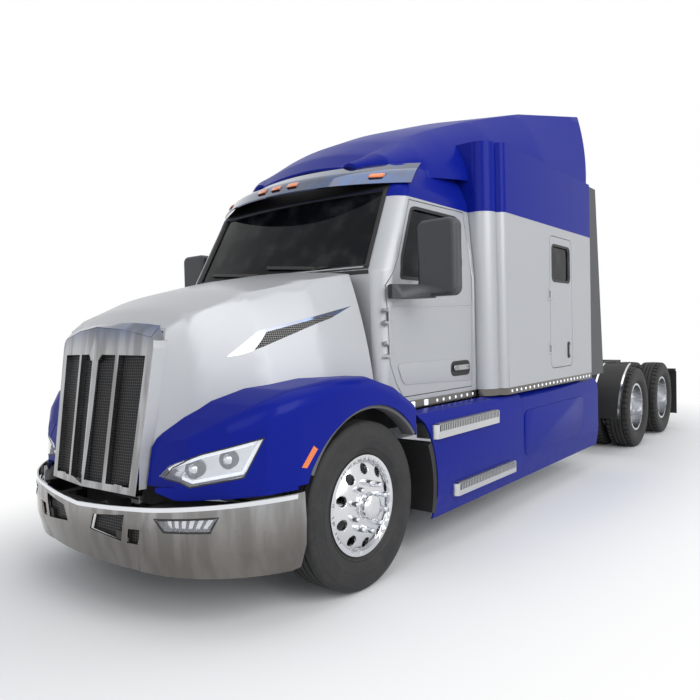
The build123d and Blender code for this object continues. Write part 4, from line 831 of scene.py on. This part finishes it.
class TRUCK_OT_bumper(bpy.types.Operator):
    """Fog lamps, screens behind the bumper's openings, a bright band along its lip as a painted highlight, trays and
    shelf
    """
    bl_idname = "truck.bumper"
    bl_label = "Bumper"

    INTAKE = [(0.118, 0.478), (0.158, 0.580), (0.438, 0.610), (0.408, 0.450)]
    TOW_HOLE = [(0.440, 0.449), (0.454, 0.538), (0.552, 0.544), (0.540, 0.451)]
    NOSE, BOW = 0.100, 0.042     # station at the middle, and how far back the face falls in half a metre
    CUP_DEPTH, FIN_DEPTH, SCREEN_DEPTH = 0.060, 0.034, 0.028
    FIN_SPAN, FIN_START, FIN_WIDTH, FIN_LEAN = 0.82, 0.25, 0.075, 0.10      # shares of the lamp and of a fin
    SHELF_Z = (0.598, 0.608)
    SHELF_HALF, SHELF_STEPS, SHELF_INSET, SHELF_BACK = 0.56, 20, 0.016, 0.192
    LIP = [(0.000, 0.620), (0.330, 0.640), (0.617, 0.660), (0.866, 0.680), (1.000, 0.690), (1.188, 0.7055)]
    # the lip band is a painted highlight: a bright strip where the rolled lip catches the light
    LIP_HIGHLIGHT_BAND = (0.024, 0.002)
    TRAY = [(0.565, 0.195), (0.700, 0.245), (0.850, 0.320), (0.950, 0.390), (1.050, 0.490), (1.120, 0.590),
            (1.000, 0.600), (0.850, 0.520), (0.565, 0.400)]
    TRAY_Z = 0.640

    def bumper_station(self, x):
        return self.NOSE + self.BOW * (x / 0.5) ** 2

    def execute(self, context):
        skin = surface("fog_lamps", "bumper")
        low = front_points(FOG_OUTLINE[1:3])
        high = front_points([FOG_OUTLINE[0], FOG_OUTLINE[3]])
        cup = sheet("cup", low, high, (16, 6), 0.003, skin, BACK, -self.CUP_DEPTH)
        both_sides(cup, "fog_lamp_cups", "chassis", "black_plastic")
        fins = []
        for i in range(FOG_FINS):
            share = self.FIN_SPAN * (i + self.FIN_START) / FOG_FINS
            foot, head = ([along(run, share + lean + width) for width in (0, self.FIN_WIDTH)]
                          for run, lean in ((low, 0), (high, self.FIN_LEAN)))
            fins.append(sheet("fin", foot, head, (3, 8), 0.012, skin, BACK, -self.FIN_DEPTH))
        both_sides(joined("fins", fins), "fog_lamp_fins", "chassis", "lamp_clear", "reflector")
        rim = band("rim", laid(skin, dense(front_points(FOG_OUTLINE), 0.03), BACK, -0.002), 0.010, FORWARD * 0.004)
        both_sides(rim, "fog_lamp_rims", "chassis", "black_plastic")

        screens = []
        for outline in (self.INTAKE, self.TOW_HOLE):
            points = [at(x, self.bumper_station(x) + self.SCREEN_DEPTH, z) for x, z in outline]
            screens.append(plate("screen", dense(points, 0.05), BACK * 0.006))
        both_sides(joined("screens", screens), "bumper_screens", "chassis", "mesh_black")

        # painted highlight: a bright metal band laid along the bumper's top edge
        edges = [front_points([(x, z - drop) for x, z in self.LIP]) for drop in self.LIP_HIGHLIGHT_BAND]
        lip = sheet("lip", *edges, (60, 2), 0.003, surface("bumper"), BACK, 0.002)
        both_sides(lip, "bumper_lip_highlights", "chassis", "chrome", "reflector")
        tray = [at(x, s, self.TRAY_Z) for x, s in self.TRAY]
        both_sides(plate("tray", tray, UP * 0.008), "bumper_trays", "chassis", "black_plastic")

        bottom, top = self.SHELF_Z
        across = [self.SHELF_HALF * (2 * i / self.SHELF_STEPS - 1) for i in range(self.SHELF_STEPS + 1)]
        front = [at(x, self.bumper_station(x) + self.SHELF_INSET, bottom) for x in across]
        rear = [at(x, self.SHELF_BACK, bottom) for x in reversed(across)]
        dress(plate("bumper_shelf", front + rear, UP * (top - bottom)), "chassis", "black_plastic")
        return {"FINISHED"}


# Cab

WINDOW = [(1.868, 1.905), (1.895, 2.050), (2.070, 2.400), (2.120, 2.420), (2.700, 2.420), (2.725, 2.380),
          (2.725, 2.060), (2.640, 1.905)]
DOOR_BODIES = ["door_left", "door_right"]


class TRUCK_OT_doors(bpy.types.Operator):
    """Window rubber, handles, pressed panels and mirror glass of the doors"""
    bl_idname = "truck.doors"
    bl_label = "Doors"

    PANEL = [(1.800, 1.325), (2.560, 1.322), (2.700, 1.296), (2.840, 1.284), (2.835, 1.142), (1.870, 1.176)]
    BELT = [(1.752, 1.694), (2.846, 1.738), (2.846, 1.752), (1.752, 1.708)]
    RECESS = (2.505, 2.800, 1.190, 1.306)
    PULL = (2.530, 2.775, 1.232, 1.276)
    MIRROR_GLASS = (1.168, 1.408, 1.960, 2.252)
    MIRROR_SPOT = (1.168, 1.408, 1.800, 1.942)
    MIRROR_BACK = 2.010

    def execute(self, context):
        gasket = context.scene.truck_sizes.gasket
        skin = surface("door_left", "door_left_glass")
        outline = dense(rounded(grown(side_view(0, WINDOW), gasket * 0.45), 0.035), 0.05)
        outline = laid(surface("door_left"), outline, INWARD, -0.002)
        rubber_ring = band("rubber", outline, gasket, OUTWARD * 0.006, 0.0015)
        both_sides(rubber_ring, "door_window_rubber", DOOR_BODIES, "black_plastic")

        panel = laid(skin, dense(rounded(side_view(0, self.PANEL), 0.05), 0.06), INWARD, -0.001)
        belt = laid(skin, dense(side_view(0, self.BELT), 0.06), INWARD, -0.001)
        pressed = [plate("panel", panel, OUTWARD * 0.007, 0.0035), plate("belt", belt, OUTWARD * 0.005, 0.002)]
        both_sides(joined("pressed", pressed), "door_pressings", DOOR_BODIES, "silver_paint")

        recess = laid(skin, rounded(oblong(0, *self.RECESS), 0.055, 8), INWARD, -0.004)
        well = plate("well", recess, OUTWARD * 0.014, 0.003)
        pick(well, lambda face: face.normal.x > 0.9 and face.area > 0.01)
        with editing(well, everything=False):
            bpy.ops.mesh.inset(thickness=0.010, depth=-0.002)
        both_sides(well, "door_handle_wells", DOOR_BODIES, "black_plastic")
        pull = [point + OUTWARD * 0.006 for point in laid(skin, rounded(oblong(0, *self.PULL), 0.021, 6), INWARD)]
        both_sides(plate("pull", pull, OUTWARD * 0.020, 0.007, 3), "door_pulls", DOOR_BODIES, "chrome")

        glasses = []
        for box in (self.MIRROR_GLASS, self.MIRROR_SPOT):
            corners = upright(*box, self.MIRROR_BACK - 0.001)
            glasses.append(plate("glass", rounded(corners, 0.035), BACK * 0.005, 0.0015))
        both_sides(joined("glasses", glasses), "mirror_glasses", DOOR_BODIES, "chrome", "mirror_glass")
        return {"FINISHED"}


class TRUCK_OT_windshield(bpy.types.Operator):
    """Black border, header and wipers of the windshield; the header also stands for the painted shadow under the visor
    """
    bl_idname = "truck.windshield"
    bl_label = "Windshield"

    BORDER_AND_VISOR_SHADOW = [
        # low and high edge of each strip, as (x, height) ends
        (((-0.925, 1.930), (0.925, 1.930)), ((-0.920, 1.996), (0.920, 1.996))),
        (((-0.885, 2.535), (0.885, 2.535)), ((-0.880, 2.575), (0.880, 2.575))),
        # the strip below the visor is black header and painted shadow of the visor in one
        (((-0.885, 2.570), (0.885, 2.570)), ((-0.850, 2.700), (0.850, 2.700))),
        (((0.880, 1.980), (0.838, 2.545)), ((0.920, 1.980), (0.880, 2.545))),
        (((-0.920, 1.980), (-0.880, 2.545)), ((-0.880, 1.980), (-0.838, 2.545))),
    ]
    WIPERS = [((0.60, 1.975), (-0.02, 2.030)), ((-0.10, 1.975), (-0.72, 2.030))]

    def execute(self, context):
        skin = surface("cab_shell", "fixed_glass", "cab_roof")
        strips = []
        for low, high in self.BORDER_AND_VISOR_SHADOW:
            strips.append(sheet("strip", front_points(low), front_points(high), (40, 3), 0.004, skin, BACK, 0.002))
        dress(joined("windshield_border_and_visor_shadow", strips), "chassis", "black_plastic")
        glass = surface("fixed_glass")
        bars = []
        for run in self.WIPERS:
            low = front_points(run)
            high = [point + UP * 0.022 for point in low]
            bars.append(sheet("bar", low, high, (16, 1), 0.012, glass, BACK, 0.006))
        dress(joined("wipers", bars), "chassis", "black_plastic")
        return {"FINISHED"}


class TRUCK_OT_sills(bpy.types.Operator):
    """Bright chrome strips, painted dark with the ground's reflection, with small lamps under the cab and the sleeper
    """
    bl_idname = "truck.sills"
    bl_label = "Sill strips"

    HEIGHTS = (1.003, 1.060)
    CORNER = [(1.020, 2.926), (1.060, 2.929), (1.100, 2.944), (1.132, 2.969), (1.152, 3.005), (1.162, 3.045),
              (1.166, 3.080), (1.187, 3.088), (1.204, 3.102), (1.216, 3.124), (1.222, 3.150), (1.222, 5.164)]
    STRIP_T, INNER_X = 0.034, 1.188
    CAB = [(1.050, 1.800), (1.050, 2.905), (1.018, 2.905), (1.018, 1.800)]
    DOME = [(-0.002, 0), (-0.002, 0.012), (0.002, 0.012), (0.005, 0.008), (0.006, 0)]
    CAB_LAMPS = (2.30, 2.90)
    SLEEPER_LAMPS = (3.20, 5.14)
    SQUARE_LAMPS = (1.975, 2.145)

    def execute(self, context):
        low, high = self.HEIGHTS
        inner = [(self.INNER_X, self.CORNER[-1][1])]
        inner += [(min(x - self.STRIP_T, self.INNER_X), s + self.STRIP_T / 2) for x, s in self.CORNER[-2:0:-1]]
        corner, cab = (plate("strip", [at(x, s, low) for x, s in plan], UP * (high - low), 0.002, 1)
                       for plan in (self.CORNER + inner, self.CAB))
        # the chrome sill strips take the darkened copy of chrome, a painted reflection of the ground
        both_sides(joined("strips", [corner, cab]), "sill_strips", "chassis", "chrome", "sill_plate")

        dome = lathe("dome", self.DOME, 12)
        pitch = context.scene.truck_sizes.lamp_pitch
        lamps = []
        for x, (first, last) in ((1.050, self.CAB_LAMPS), (1.222, self.SLEEPER_LAMPS)):
            for i in range(int((last - first) / pitch) + 1):
                spot = at(x, first + i * pitch, (low + high) / 2)
                lamps.append(copied(dome, "lamp", Matrix.Translation(spot)))
        discard(dome)
        for station in self.SQUARE_LAMPS:
            corners = oblong(1.049, station - 0.024, station + 0.024, low + 0.008, high - 0.006)
            lamps.append(plate("square", rounded(corners, 0.008), OUTWARD * 0.009, 0.003))
        both_sides(joined("lamps", lamps), "sill_lamps", "chassis", "lamp_clear", "light_guide")
        return {"FINISHED"}


class TRUCK_OT_visor(bpy.types.Operator):
    """The bowed blade of the sun visor, and the amber lamps on its face"""
    bl_idname = "truck.visor"
    bl_label = "Sun visor"

    # height, x of the tip, station of the tip, station of the middle
    ROWS = [(2.590, 1.005, 2.085, 1.690), (2.690, 1.000, 2.160, 1.790), (2.775, 0.960, 2.290, 1.950)]
    BLADE_T, BOW_STEPS = 0.010, 64
    ACROSS = (-0.790, -0.165, 0, 0.165, 0.790)
    HALF = (0.046, 0.017)
    HEIGHT = 2.655

    def row(self, z, tip_x, tip_s, mid_s):
        """An even bow from tip to tip."""
        rise = tip_s - mid_s
        radius = (rise ** 2 + tip_x ** 2) / (2 * rise)
        across = [tip_x * (2 * i / self.BOW_STEPS - 1) for i in range(self.BOW_STEPS + 1)]
        return [at(x, mid_s + radius - math.sqrt(radius ** 2 - x ** 2), z) for x in across]

    def execute(self, context):
        low, middle, high = (self.row(*spec) for spec in self.ROWS)
        halves = [patch("half", *rows, self.BOW_STEPS, 4) for rows in ((low, middle), (middle, high))]
        blade = joined("sun_visor_blade", halves)
        with editing(blade):
            bpy.ops.mesh.remove_doubles(threshold=0.0005)
        modified(blade, "SOLIDIFY", thickness=self.BLADE_T)
        dress(smooth(blade, 40), "chassis", "chrome", stands_for=["sun_visor"])

        skin = surface("sun_visor")
        wide, tall = self.HALF
        lamps, bezels = [], []
        for x in self.ACROSS:
            for made, extra, lift, push in ((bezels, 0.006, -0.012, 0.018), (lamps, 0, -0.008, 0.026)):
                w, h = wide + extra, tall + extra
                corners = rounded(upright(x - w, x + w, self.HEIGHT - h, self.HEIGHT + h), 0.014)
                made.append(plate("lamp", laid(skin, corners, BACK, lift), FORWARD * push, 0.005))
        dress(joined("marker_lenses", lamps), "chassis", "lamp_amber", stands_for=["marker_lamps"])
        dress(joined("marker_bezels", bezels), "chassis", "chrome")
        return {"FINISHED"}


# Hood

class TRUCK_OT_hood(bpy.types.Operator):
    """Vent screens, arch lips, fender fillers and what closes the hood to the grille"""
    bl_idname = "truck.hood"
    bl_label = "Hood"

    VENT = ([(0.775, 1.453), (1.210, 1.606), (1.330, 1.641)], [(0.868, 1.556), (1.290, 1.651), (1.345, 1.658)])
    CROWN = [(0.470, 0.855), (0.370, 0.875), (0.250, 0.898), (0.125, 0.906), (0, 0.914)]
    FLANK = [(0.452, 0.030), (0.470, 0.230), (0.478, 0.400), (0.496, 0.800), (0.490, 0.838)]
    VALANCE = [(0.598, 0.215, 0.728), (0.690, 0.268, 0.688), (0.745, 0.300, 0.685), (0.959, 0.420, 0.701),
               (1.109, 0.540, 0.717), (1.180, 0.690, 0.725)]
    VALANCE_TOP = 0.752
    FILLER = [(0.701, 0.300, 0.895), (0.770, 0.300, 0.897), (0.636, 0.300, 0.989), (0.783, 0.300, 0.998)]
    FILLER_WAY = (-0.804, 0.570, -0.171)
    GRILLE_FOOT, GRILLE_LEAN, GRILLE_FOLD = (0.128, 0.700), math.radians(8), math.radians(7.5)
    CROWN_DEPTH = 0.062
    ARCH = (1.305, 0.507)
    LIP_R = (0.578, 0.6025)
    LIP_TURN, LIP_STEPS = (38, 152), 48
    LIP_X = (1.100, 1.196)

    def grille_point(self, across, rise):
        """A point on the face of the grille's half: from the middle, and up the slope from its foot."""
        fold, lean, (station, z) = self.GRILLE_FOLD, self.GRILLE_LEAN, self.GRILLE_FOOT
        back = across * math.sin(fold)
        return at(across * math.cos(fold), station + back * math.cos(lean) + rise * math.sin(lean),
                  z - back * math.sin(lean) + rise * math.cos(lean))

    def execute(self, context):
        skin = surface("hood_vents", "hood_shell")
        vent = sheet("vent", *(side_view(0, run) for run in self.VENT), (40, 8), 0.003, skin, INWARD, 0.003)
        both_sides(vent, "hood_vent_screens", "hood", "mesh_black", "vent_mesh")

        rim, flank = ([self.grille_point(*spot) for spot in run] for run in (self.CROWN, self.FLANK))
        shell, deeper = surface("hood_shell"), BACK * self.CROWN_DEPTH
        tops = laid(shell, [point + deeper for point in rim], DOWN, 0.002)
        sides = [flank[0] + deeper + OUTWARD * 0.012]
        sides += laid(shell, [point + deeper for point in flank[1:]], INWARD, 0.002)
        crown = sheet("crown", [point + UP * 0.001 for point in rim], tops, (60, 4), 0.003)
        corner = sheet("corner", [flank[-1], sides[-1]], [rim[0], tops[0]], (8, 4), 0.003)
        both_sides(joined("crown", [crown, corner]), "grille_crown", "hood", "chrome")
        both_sides(sheet("collar", flank, sides, (60, 2), 0.003), "grille_collars", "hood", "silver_paint")

        low = [at(*spot) for spot in self.VALANCE]
        high = [at(x, s, self.VALANCE_TOP) for x, s, _ in self.VALANCE]
        valance = sheet("valance", low, high, (48, 2), 0.006)
        corners = laid(surface("fenders"), [at(*spot) for spot in self.FILLER], self.FILLER_WAY, 0.003)
        filler = sheet("filler", corners[:2], corners[2:], (8, 8), 0.004)
        both_sides(joined("fender_fillers", [valance, filler]), "fender_fillers", "hood", "blue_paint")

        first, last = self.LIP_TURN
        arcs = []
        for radius in self.LIP_R:
            turns = [math.radians(first + (last - first) * i / self.LIP_STEPS) for i in range(self.LIP_STEPS + 1)]
            arcs.append([at(self.LIP_X[0], self.ARCH[0] + radius * math.cos(t), self.ARCH[1] + radius * math.sin(t))
                         for t in turns])
        lip = plate("lip", arcs[0] + arcs[1][::-1], OUTWARD * (self.LIP_X[1] - self.LIP_X[0]), 0.003)
        both_sides(lip, "arch_lips", "hood", "dark_plastic", "trim_grey")
        return {"FINISHED"}


# Sleeper and sides

class TRUCK_OT_sleeper(bpy.types.Operator):
    """Hatch rubber and handle, and the rubber of the plain window"""
    bl_idname = "truck.sleeper"
    bl_label = "Sleeper"

    WINDOW = (4.105, 4.550, 1.985, 2.320)
    HANDLE = (4.470, 4.535, 1.245, 1.405)
    GRIP = (4.486, 4.519, 1.275, 1.375)
    SEAM = [(4.6365, 3.046), (4.5565, 2.494), (4.5525, 2.494), (4.6325, 3.046)]
    HALF = 1.222

    def execute(self, context):
        gasket = context.scene.truck_sizes.gasket
        window = rounded(grown(oblong(self.HALF - 0.002, *self.WINDOW), gasket * 0.45), 0.066, 8)
        ring_piece = band("hatch_window_rubber", window, gasket, OUTWARD * 0.006, 0.0015)
        twin = flipped(ring_piece, "sleeper_window_rubber")
        dress(ring_piece, "sleeper_hatch", "black_plastic")
        dress(twin, "chassis", "black_plastic")
        handle = rounded(oblong(self.HALF - 0.002, *self.HANDLE), 0.028, 8)
        well = plate("hatch_handle_well", handle, OUTWARD * 0.008, 0.003)
        dress(well, "sleeper_hatch", "black_plastic")
        grip = plate("hatch_grip", rounded(oblong(self.HALF + 0.003, *self.GRIP), 0.014, 6), OUTWARD * 0.012, 0.004)
        dress(grip, "sleeper_hatch", "chrome")
        seam = plate("seam", side_view(self.HALF - 0.001, self.SEAM), OUTWARD * 0.0015)
        both_sides(seam, "upper_seams", "chassis", "black_plastic")
        return {"FINISHED"}


class TRUCK_OT_steps(bpy.types.Operator):
    """Toothed treads on the side steps"""
    bl_idname = "truck.steps"
    bl_label = "Step treads"

    STEPS = [(1.950, 2.910, 0.905), (2.210, 3.200, 0.455)]
    COLUMNS = ((1.110, 1.152), (1.160, 1.202), (1.210, 1.252))
    END = 0.045
    TOOTH = 0.45                 # share of the pitch
    SINK = 0.001
    LIP, LIP_TEETH = 1.260, 0.046

    def execute(self, context):
        pitch = context.scene.truck_sizes.tooth_pitch
        teeth, beds = [], []
        x0, x1 = self.COLUMNS[0][0], self.COLUMNS[-1][1]
        for first, last, z in self.STEPS:
            for i in range(int((last - first - 2 * self.END) / pitch) + 1):
                s = first + self.END + i * pitch
                end = s + pitch * self.TOOTH
                for low_x, high_x in self.COLUMNS:
                    teeth.append(plate("tooth", level(low_x, high_x, s, end, z - self.SINK), UP * 0.009))
                nose = oblong(self.LIP - self.SINK, s, end, z - self.LIP_TEETH, z - 0.004)
                teeth.append(plate("tooth", nose, OUTWARD * 0.007))
        both_sides(joined("teeth", teeth), "step_teeth", "chassis", "tread_aluminium")
        for first, last, z in self.STEPS:
            corners = level(x0, x1, first + 0.03, last - 0.03, z - self.SINK)
            beds.append(plate("bed", rounded(corners, 0.03), UP * 0.002))
            nose = oblong(self.LIP - self.SINK, first + 0.036, last - 0.036, z - self.LIP_TEETH, z - 0.003)
            beds.append(plate("bed", nose, OUTWARD * 0.002))
        both_sides(joined("beds", beds), "step_beds", "chassis", "tread_aluminium", "black_plastic")
        return {"FINISHED"}


class TRUCK_OT_fairings(bpy.types.Operator):
    """Raised panels of the chassis fairings, and bright strips on the quarter fenders"""
    bl_idname = "truck.fairings"
    bl_label = "Side fairings"

    PANEL = [(3.430, 0.445), (4.700, 0.445), (4.860, 0.520), (4.900, 0.840), (3.430, 0.840)]
    GUARD = [(6.105, 0.450), (6.160, 0.632), (6.270, 0.850), (6.430, 0.990), (6.620, 1.075)]
    GUARD_STRIPS, STRIP_WIDTH = (0.640, 0.900, 1.205), 0.022
    GUARD_WAY = Vector((0, 0.75, -0.66))

    def execute(self, context):
        skin = surface("chassis_fairings")
        panel = laid(skin, dense(rounded(side_view(0, self.PANEL), 0.08), 0.08), INWARD, -0.001)
        both_sides(plate("panel", panel, OUTWARD * 0.007, 0.0045), "fairing_panels", "chassis", "blue_paint")
        guard = surface("splash_guards")
        strips = []
        for x in self.GUARD_STRIPS:
            low, high = (side_view(edge, self.GUARD) for edge in (x, x + self.STRIP_WIDTH))
            strips.append(sheet("strip", low, high, (24, 2), 0.005, guard, self.GUARD_WAY, 0.003))
        both_sides(joined("strips", strips), "guard_strips", "chassis", "polished_aluminium")
        return {"FINISHED"}


# Seats and bunk

class TRUCK_OT_seats(bpy.types.Operator):
    """Stuffed seats and bunk on moulded bases"""
    bl_idname = "truck.seats"
    bl_label = "Seats and bunk"

    SEAT_X = 0.520
    CUSHION = ((-0.238, 0.238), (2.290, 2.765), (1.492, 1.588))
    BACK_REST = [(2.700, 1.612), (2.785, 1.612), (2.828, 2.040), (2.760, 2.040)]
    HEAD_REST = [(2.764, 2.062), (2.828, 2.062), (2.842, 2.262), (2.784, 2.262)]
    MATTRESS = ((-1.128, 1.128), (4.270, 5.100), (1.440, 1.618))
    SEAT_BASE = ((-0.200, 0.200), (2.330, 2.730), (1.115, 1.484))
    BUNK_BASE = ((-1.150, 1.150), (4.250, 5.120), (1.105, 1.428))
    PRESSURE, FRAMES = 4.0, 20
    FILL = 0.8

    def block(self, name, box, bevel):
        across, stations, (z0, z1) = box
        return plate(name, level(*across, *stations, z0), UP * (z1 - z0), bevel, 4)

    def rest(self, name, points, half):
        return plate(name, side_view(-half, points), OUTWARD * 2 * half, 0.022, 4)

    def puffed(self, piece, voxel, cap):
        """Swells a pad by cloth under pressure, with each point held within a cap of where it started."""
        piece.data.remesh_voxel_size = voxel
        alone(piece)
        bpy.ops.object.voxel_remesh()
        before = [vertex.co.copy() for vertex in piece.data.vertices]
        modifier = piece.modifiers.new("Cloth", "CLOTH")
        settings = modifier.settings
        settings.use_pressure = True
        settings.uniform_pressure_force = self.PRESSURE
        settings.effector_weights.gravity = 0.0
        for number in range(1, self.FRAMES + 1):
            bpy.context.scene.frame_set(number)
        alone(piece)
        bpy.ops.object.modifier_apply(modifier=modifier.name)
        for vertex, old in zip(piece.data.vertices, before):
            move = vertex.co - old
            if move.length > cap:
                vertex.co = old + move * (cap / move.length)
        bpy.context.scene.frame_set(1)
        modified(piece, "SUBSURF", levels=1, render_levels=1)
        return smooth(piece, 60)

    def execute(self, context):
        pads = [("seat_cushion", self.puffed(self.block("cushion", self.CUSHION, 0.03), 0.012, 0.012)),
                ("seat_back", self.puffed(self.rest("back", self.BACK_REST, 0.232), 0.012, 0.012)),
                ("head_rest", self.puffed(self.rest("head", self.HEAD_REST, 0.135), 0.010, 0.010))]
        replaced = ["upholstery"]
        for stem, pad in pads:
            for side, sign in zip(SIDES, (1, -1)):
                seat = copied(pad, f"{stem}_{side}", Matrix.Translation((sign * self.SEAT_X, 0, 0)))
                dress(seat, "chassis", "upholstery", stands_for=replaced)
                replaced = ()
            discard(pad)
        mattress = self.puffed(self.block("bunk_mattress", self.MATTRESS, 0.05), 0.022, 0.018)
        dress(mattress, "chassis", "upholstery")
        dress(self.block("bunk_base", self.BUNK_BASE, 0.012), "chassis", "trim_grey")
        bases = []
        for sign in (1, -1):
            base = self.block("base", self.SEAT_BASE, 0.02)
            base.data.transform(Matrix.Translation((sign * self.SEAT_X, 0, 0)))
            bases.append(base)
        dress(joined("seat_bases", bases), "chassis", "trim_grey")
        return {"FINISHED"}


class TRUCK_OT_stage(bpy.types.Operator):
    """Pale floor, soft light and the camera"""
    bl_idname = "truck.stage"
    bl_label = "Stage"

    LAMPS = [
        # name, place, aim, size, power
        ("key", (12, -4, 7.5), (0, -1, 1.2), 9, 1000),
        ("front", (5, -14, 7), (0, -3, 1.2), 7, 260),
        ("top", (1, -1, 12), (0, -1, 0), 9, 260),
    ]
    SKY = (0.90, 0.95, 1.0)
    SKY_STRENGTH = 0.42
    NEAR = (2.3, 5.9)            # half axes of the floor that shows its own shade
    CAMERA_SPOT = (3.471, -1.669, 1.533)
    CAMERA_TURN = (39.17, -1.47, -1.37)    # yaw, pitch and roll, in degrees

    def execute(self, context):
        sizes = context.scene.truck_sizes
        self.floor(sizes.floor)
        self.light(context)
        self.camera(context, sizes.lens)
        context.scene.view_settings.view_transform = "Standard"
        return {"FINISHED"}

    def floor(self, half):
        plane = start("plane", "studio_floor", size=2 * half)
        f = Finish("studio_floor", Roughness=0.9, Specular_IOR_Level=0.0)
        f.set(Base_Color=f.mix(f.noise(0.4, 2.0), (0.92, 0.92, 0.93), (0.95, 0.95, 0.95)))
        across, down = (f.axis(name) * (1 / half_axis) for name, half_axis in zip("XY", self.NEAR))
        reach = (across * across + down * down).op("SQRT")
        f.whiten(reach.above(1.05, 0.75) * f.seen())
        plane.data.materials.append(f.material)

    def light(self, context):
        world = bpy.data.worlds.new("studio")
        context.scene.world = world
        world.use_nodes = True
        nodes = Nodes(world.node_tree)
        soft = nodes.node("ShaderNodeBackground", {}, {"Color": (*self.SKY, 1), "Strength": self.SKY_STRENGTH})
        white = nodes.node("ShaderNodeBackground", {}, {"Color": (1, 1, 1, 1)})
        mix = nodes.node("ShaderNodeMixShader", {}, {0: nodes.seen(), 1: soft, 2: white})
        nodes.feed(nodes.tree.nodes.new("ShaderNodeOutputWorld").inputs[0], mix)
        for name, place, target, size, power in self.LAMPS:
            lamp = bpy.data.lights.new(name, "AREA")
            lamp.size, lamp.energy = size, power
            holder = bpy.data.objects.new(name, lamp)
            context.scene.collection.objects.link(holder)
            holder.location = place
            aim = Vector(target) - Vector(place)
            holder.rotation_euler = aim.to_track_quat("-Z", "Y").to_euler()

    def camera(self, context, lens_mm):
        yaw, pitch, roll = (math.radians(a) for a in self.CAMERA_TURN)
        ahead = Vector((-math.sin(yaw) * math.cos(pitch), math.cos(yaw) * math.cos(pitch), math.sin(pitch)))
        right = Vector((math.cos(yaw), math.sin(yaw), 0))
        up = right.cross(ahead)
        right, up = right * math.cos(roll) + up * math.sin(roll), up * math.cos(roll) - right * math.sin(roll)
        data = bpy.data.cameras.new("camera")
        data.lens, data.sensor_width = lens_mm, 36
        data.clip_end = 400
        camera = bpy.data.objects.new("camera", data)
        context.scene.collection.objects.link(camera)
        turn = Matrix((right, up, -ahead)).transposed().to_4x4()
        camera.matrix_world = Matrix.Translation(at(*self.CAMERA_SPOT)) @ turn
        context.scene.camera = camera


class TRUCK_PT_panel(bpy.types.Panel):
    """Lists the dressing steps"""
    bl_label = "Truck"
    bl_idname = "TRUCK_PT_panel"
    bl_space_type = "VIEW_3D"
    bl_region_type = "UI"
    bl_category = "Truck"

    def draw(self, context):
        for step in STEPS:
            self.layout.operator(step.bl_idname)


STEPS = [TRUCK_OT_finishes, TRUCK_OT_panels, TRUCK_OT_tyres, TRUCK_OT_nuts, TRUCK_OT_headlamps, TRUCK_OT_bumper,
         TRUCK_OT_doors, TRUCK_OT_windshield, TRUCK_OT_visor, TRUCK_OT_sills, TRUCK_OT_hood, TRUCK_OT_sleeper,
         TRUCK_OT_steps, TRUCK_OT_fairings, TRUCK_OT_seats, TRUCK_OT_stage]
GROUPS = [TruckColours, TruckSizes]


def register():
    for cls in GROUPS + STEPS + [TRUCK_PT_panel]:
        bpy.utils.register_class(cls)
    bpy.types.Scene.truck_colours = PointerProperty(type=TruckColours)
    bpy.types.Scene.truck_sizes = PointerProperty(type=TruckSizes)


def unregister():
    del bpy.types.Scene.truck_sizes
    del bpy.types.Scene.truck_colours
    for cls in reversed(GROUPS + STEPS + [TRUCK_PT_panel]):
        bpy.utils.unregister_class(cls)


def main():
    register()
    for step in STEPS:
        group, name = step.bl_idname.split(".")
        getattr(getattr(bpy.ops, group), name)()


if __name__ == "__main__":
    main()
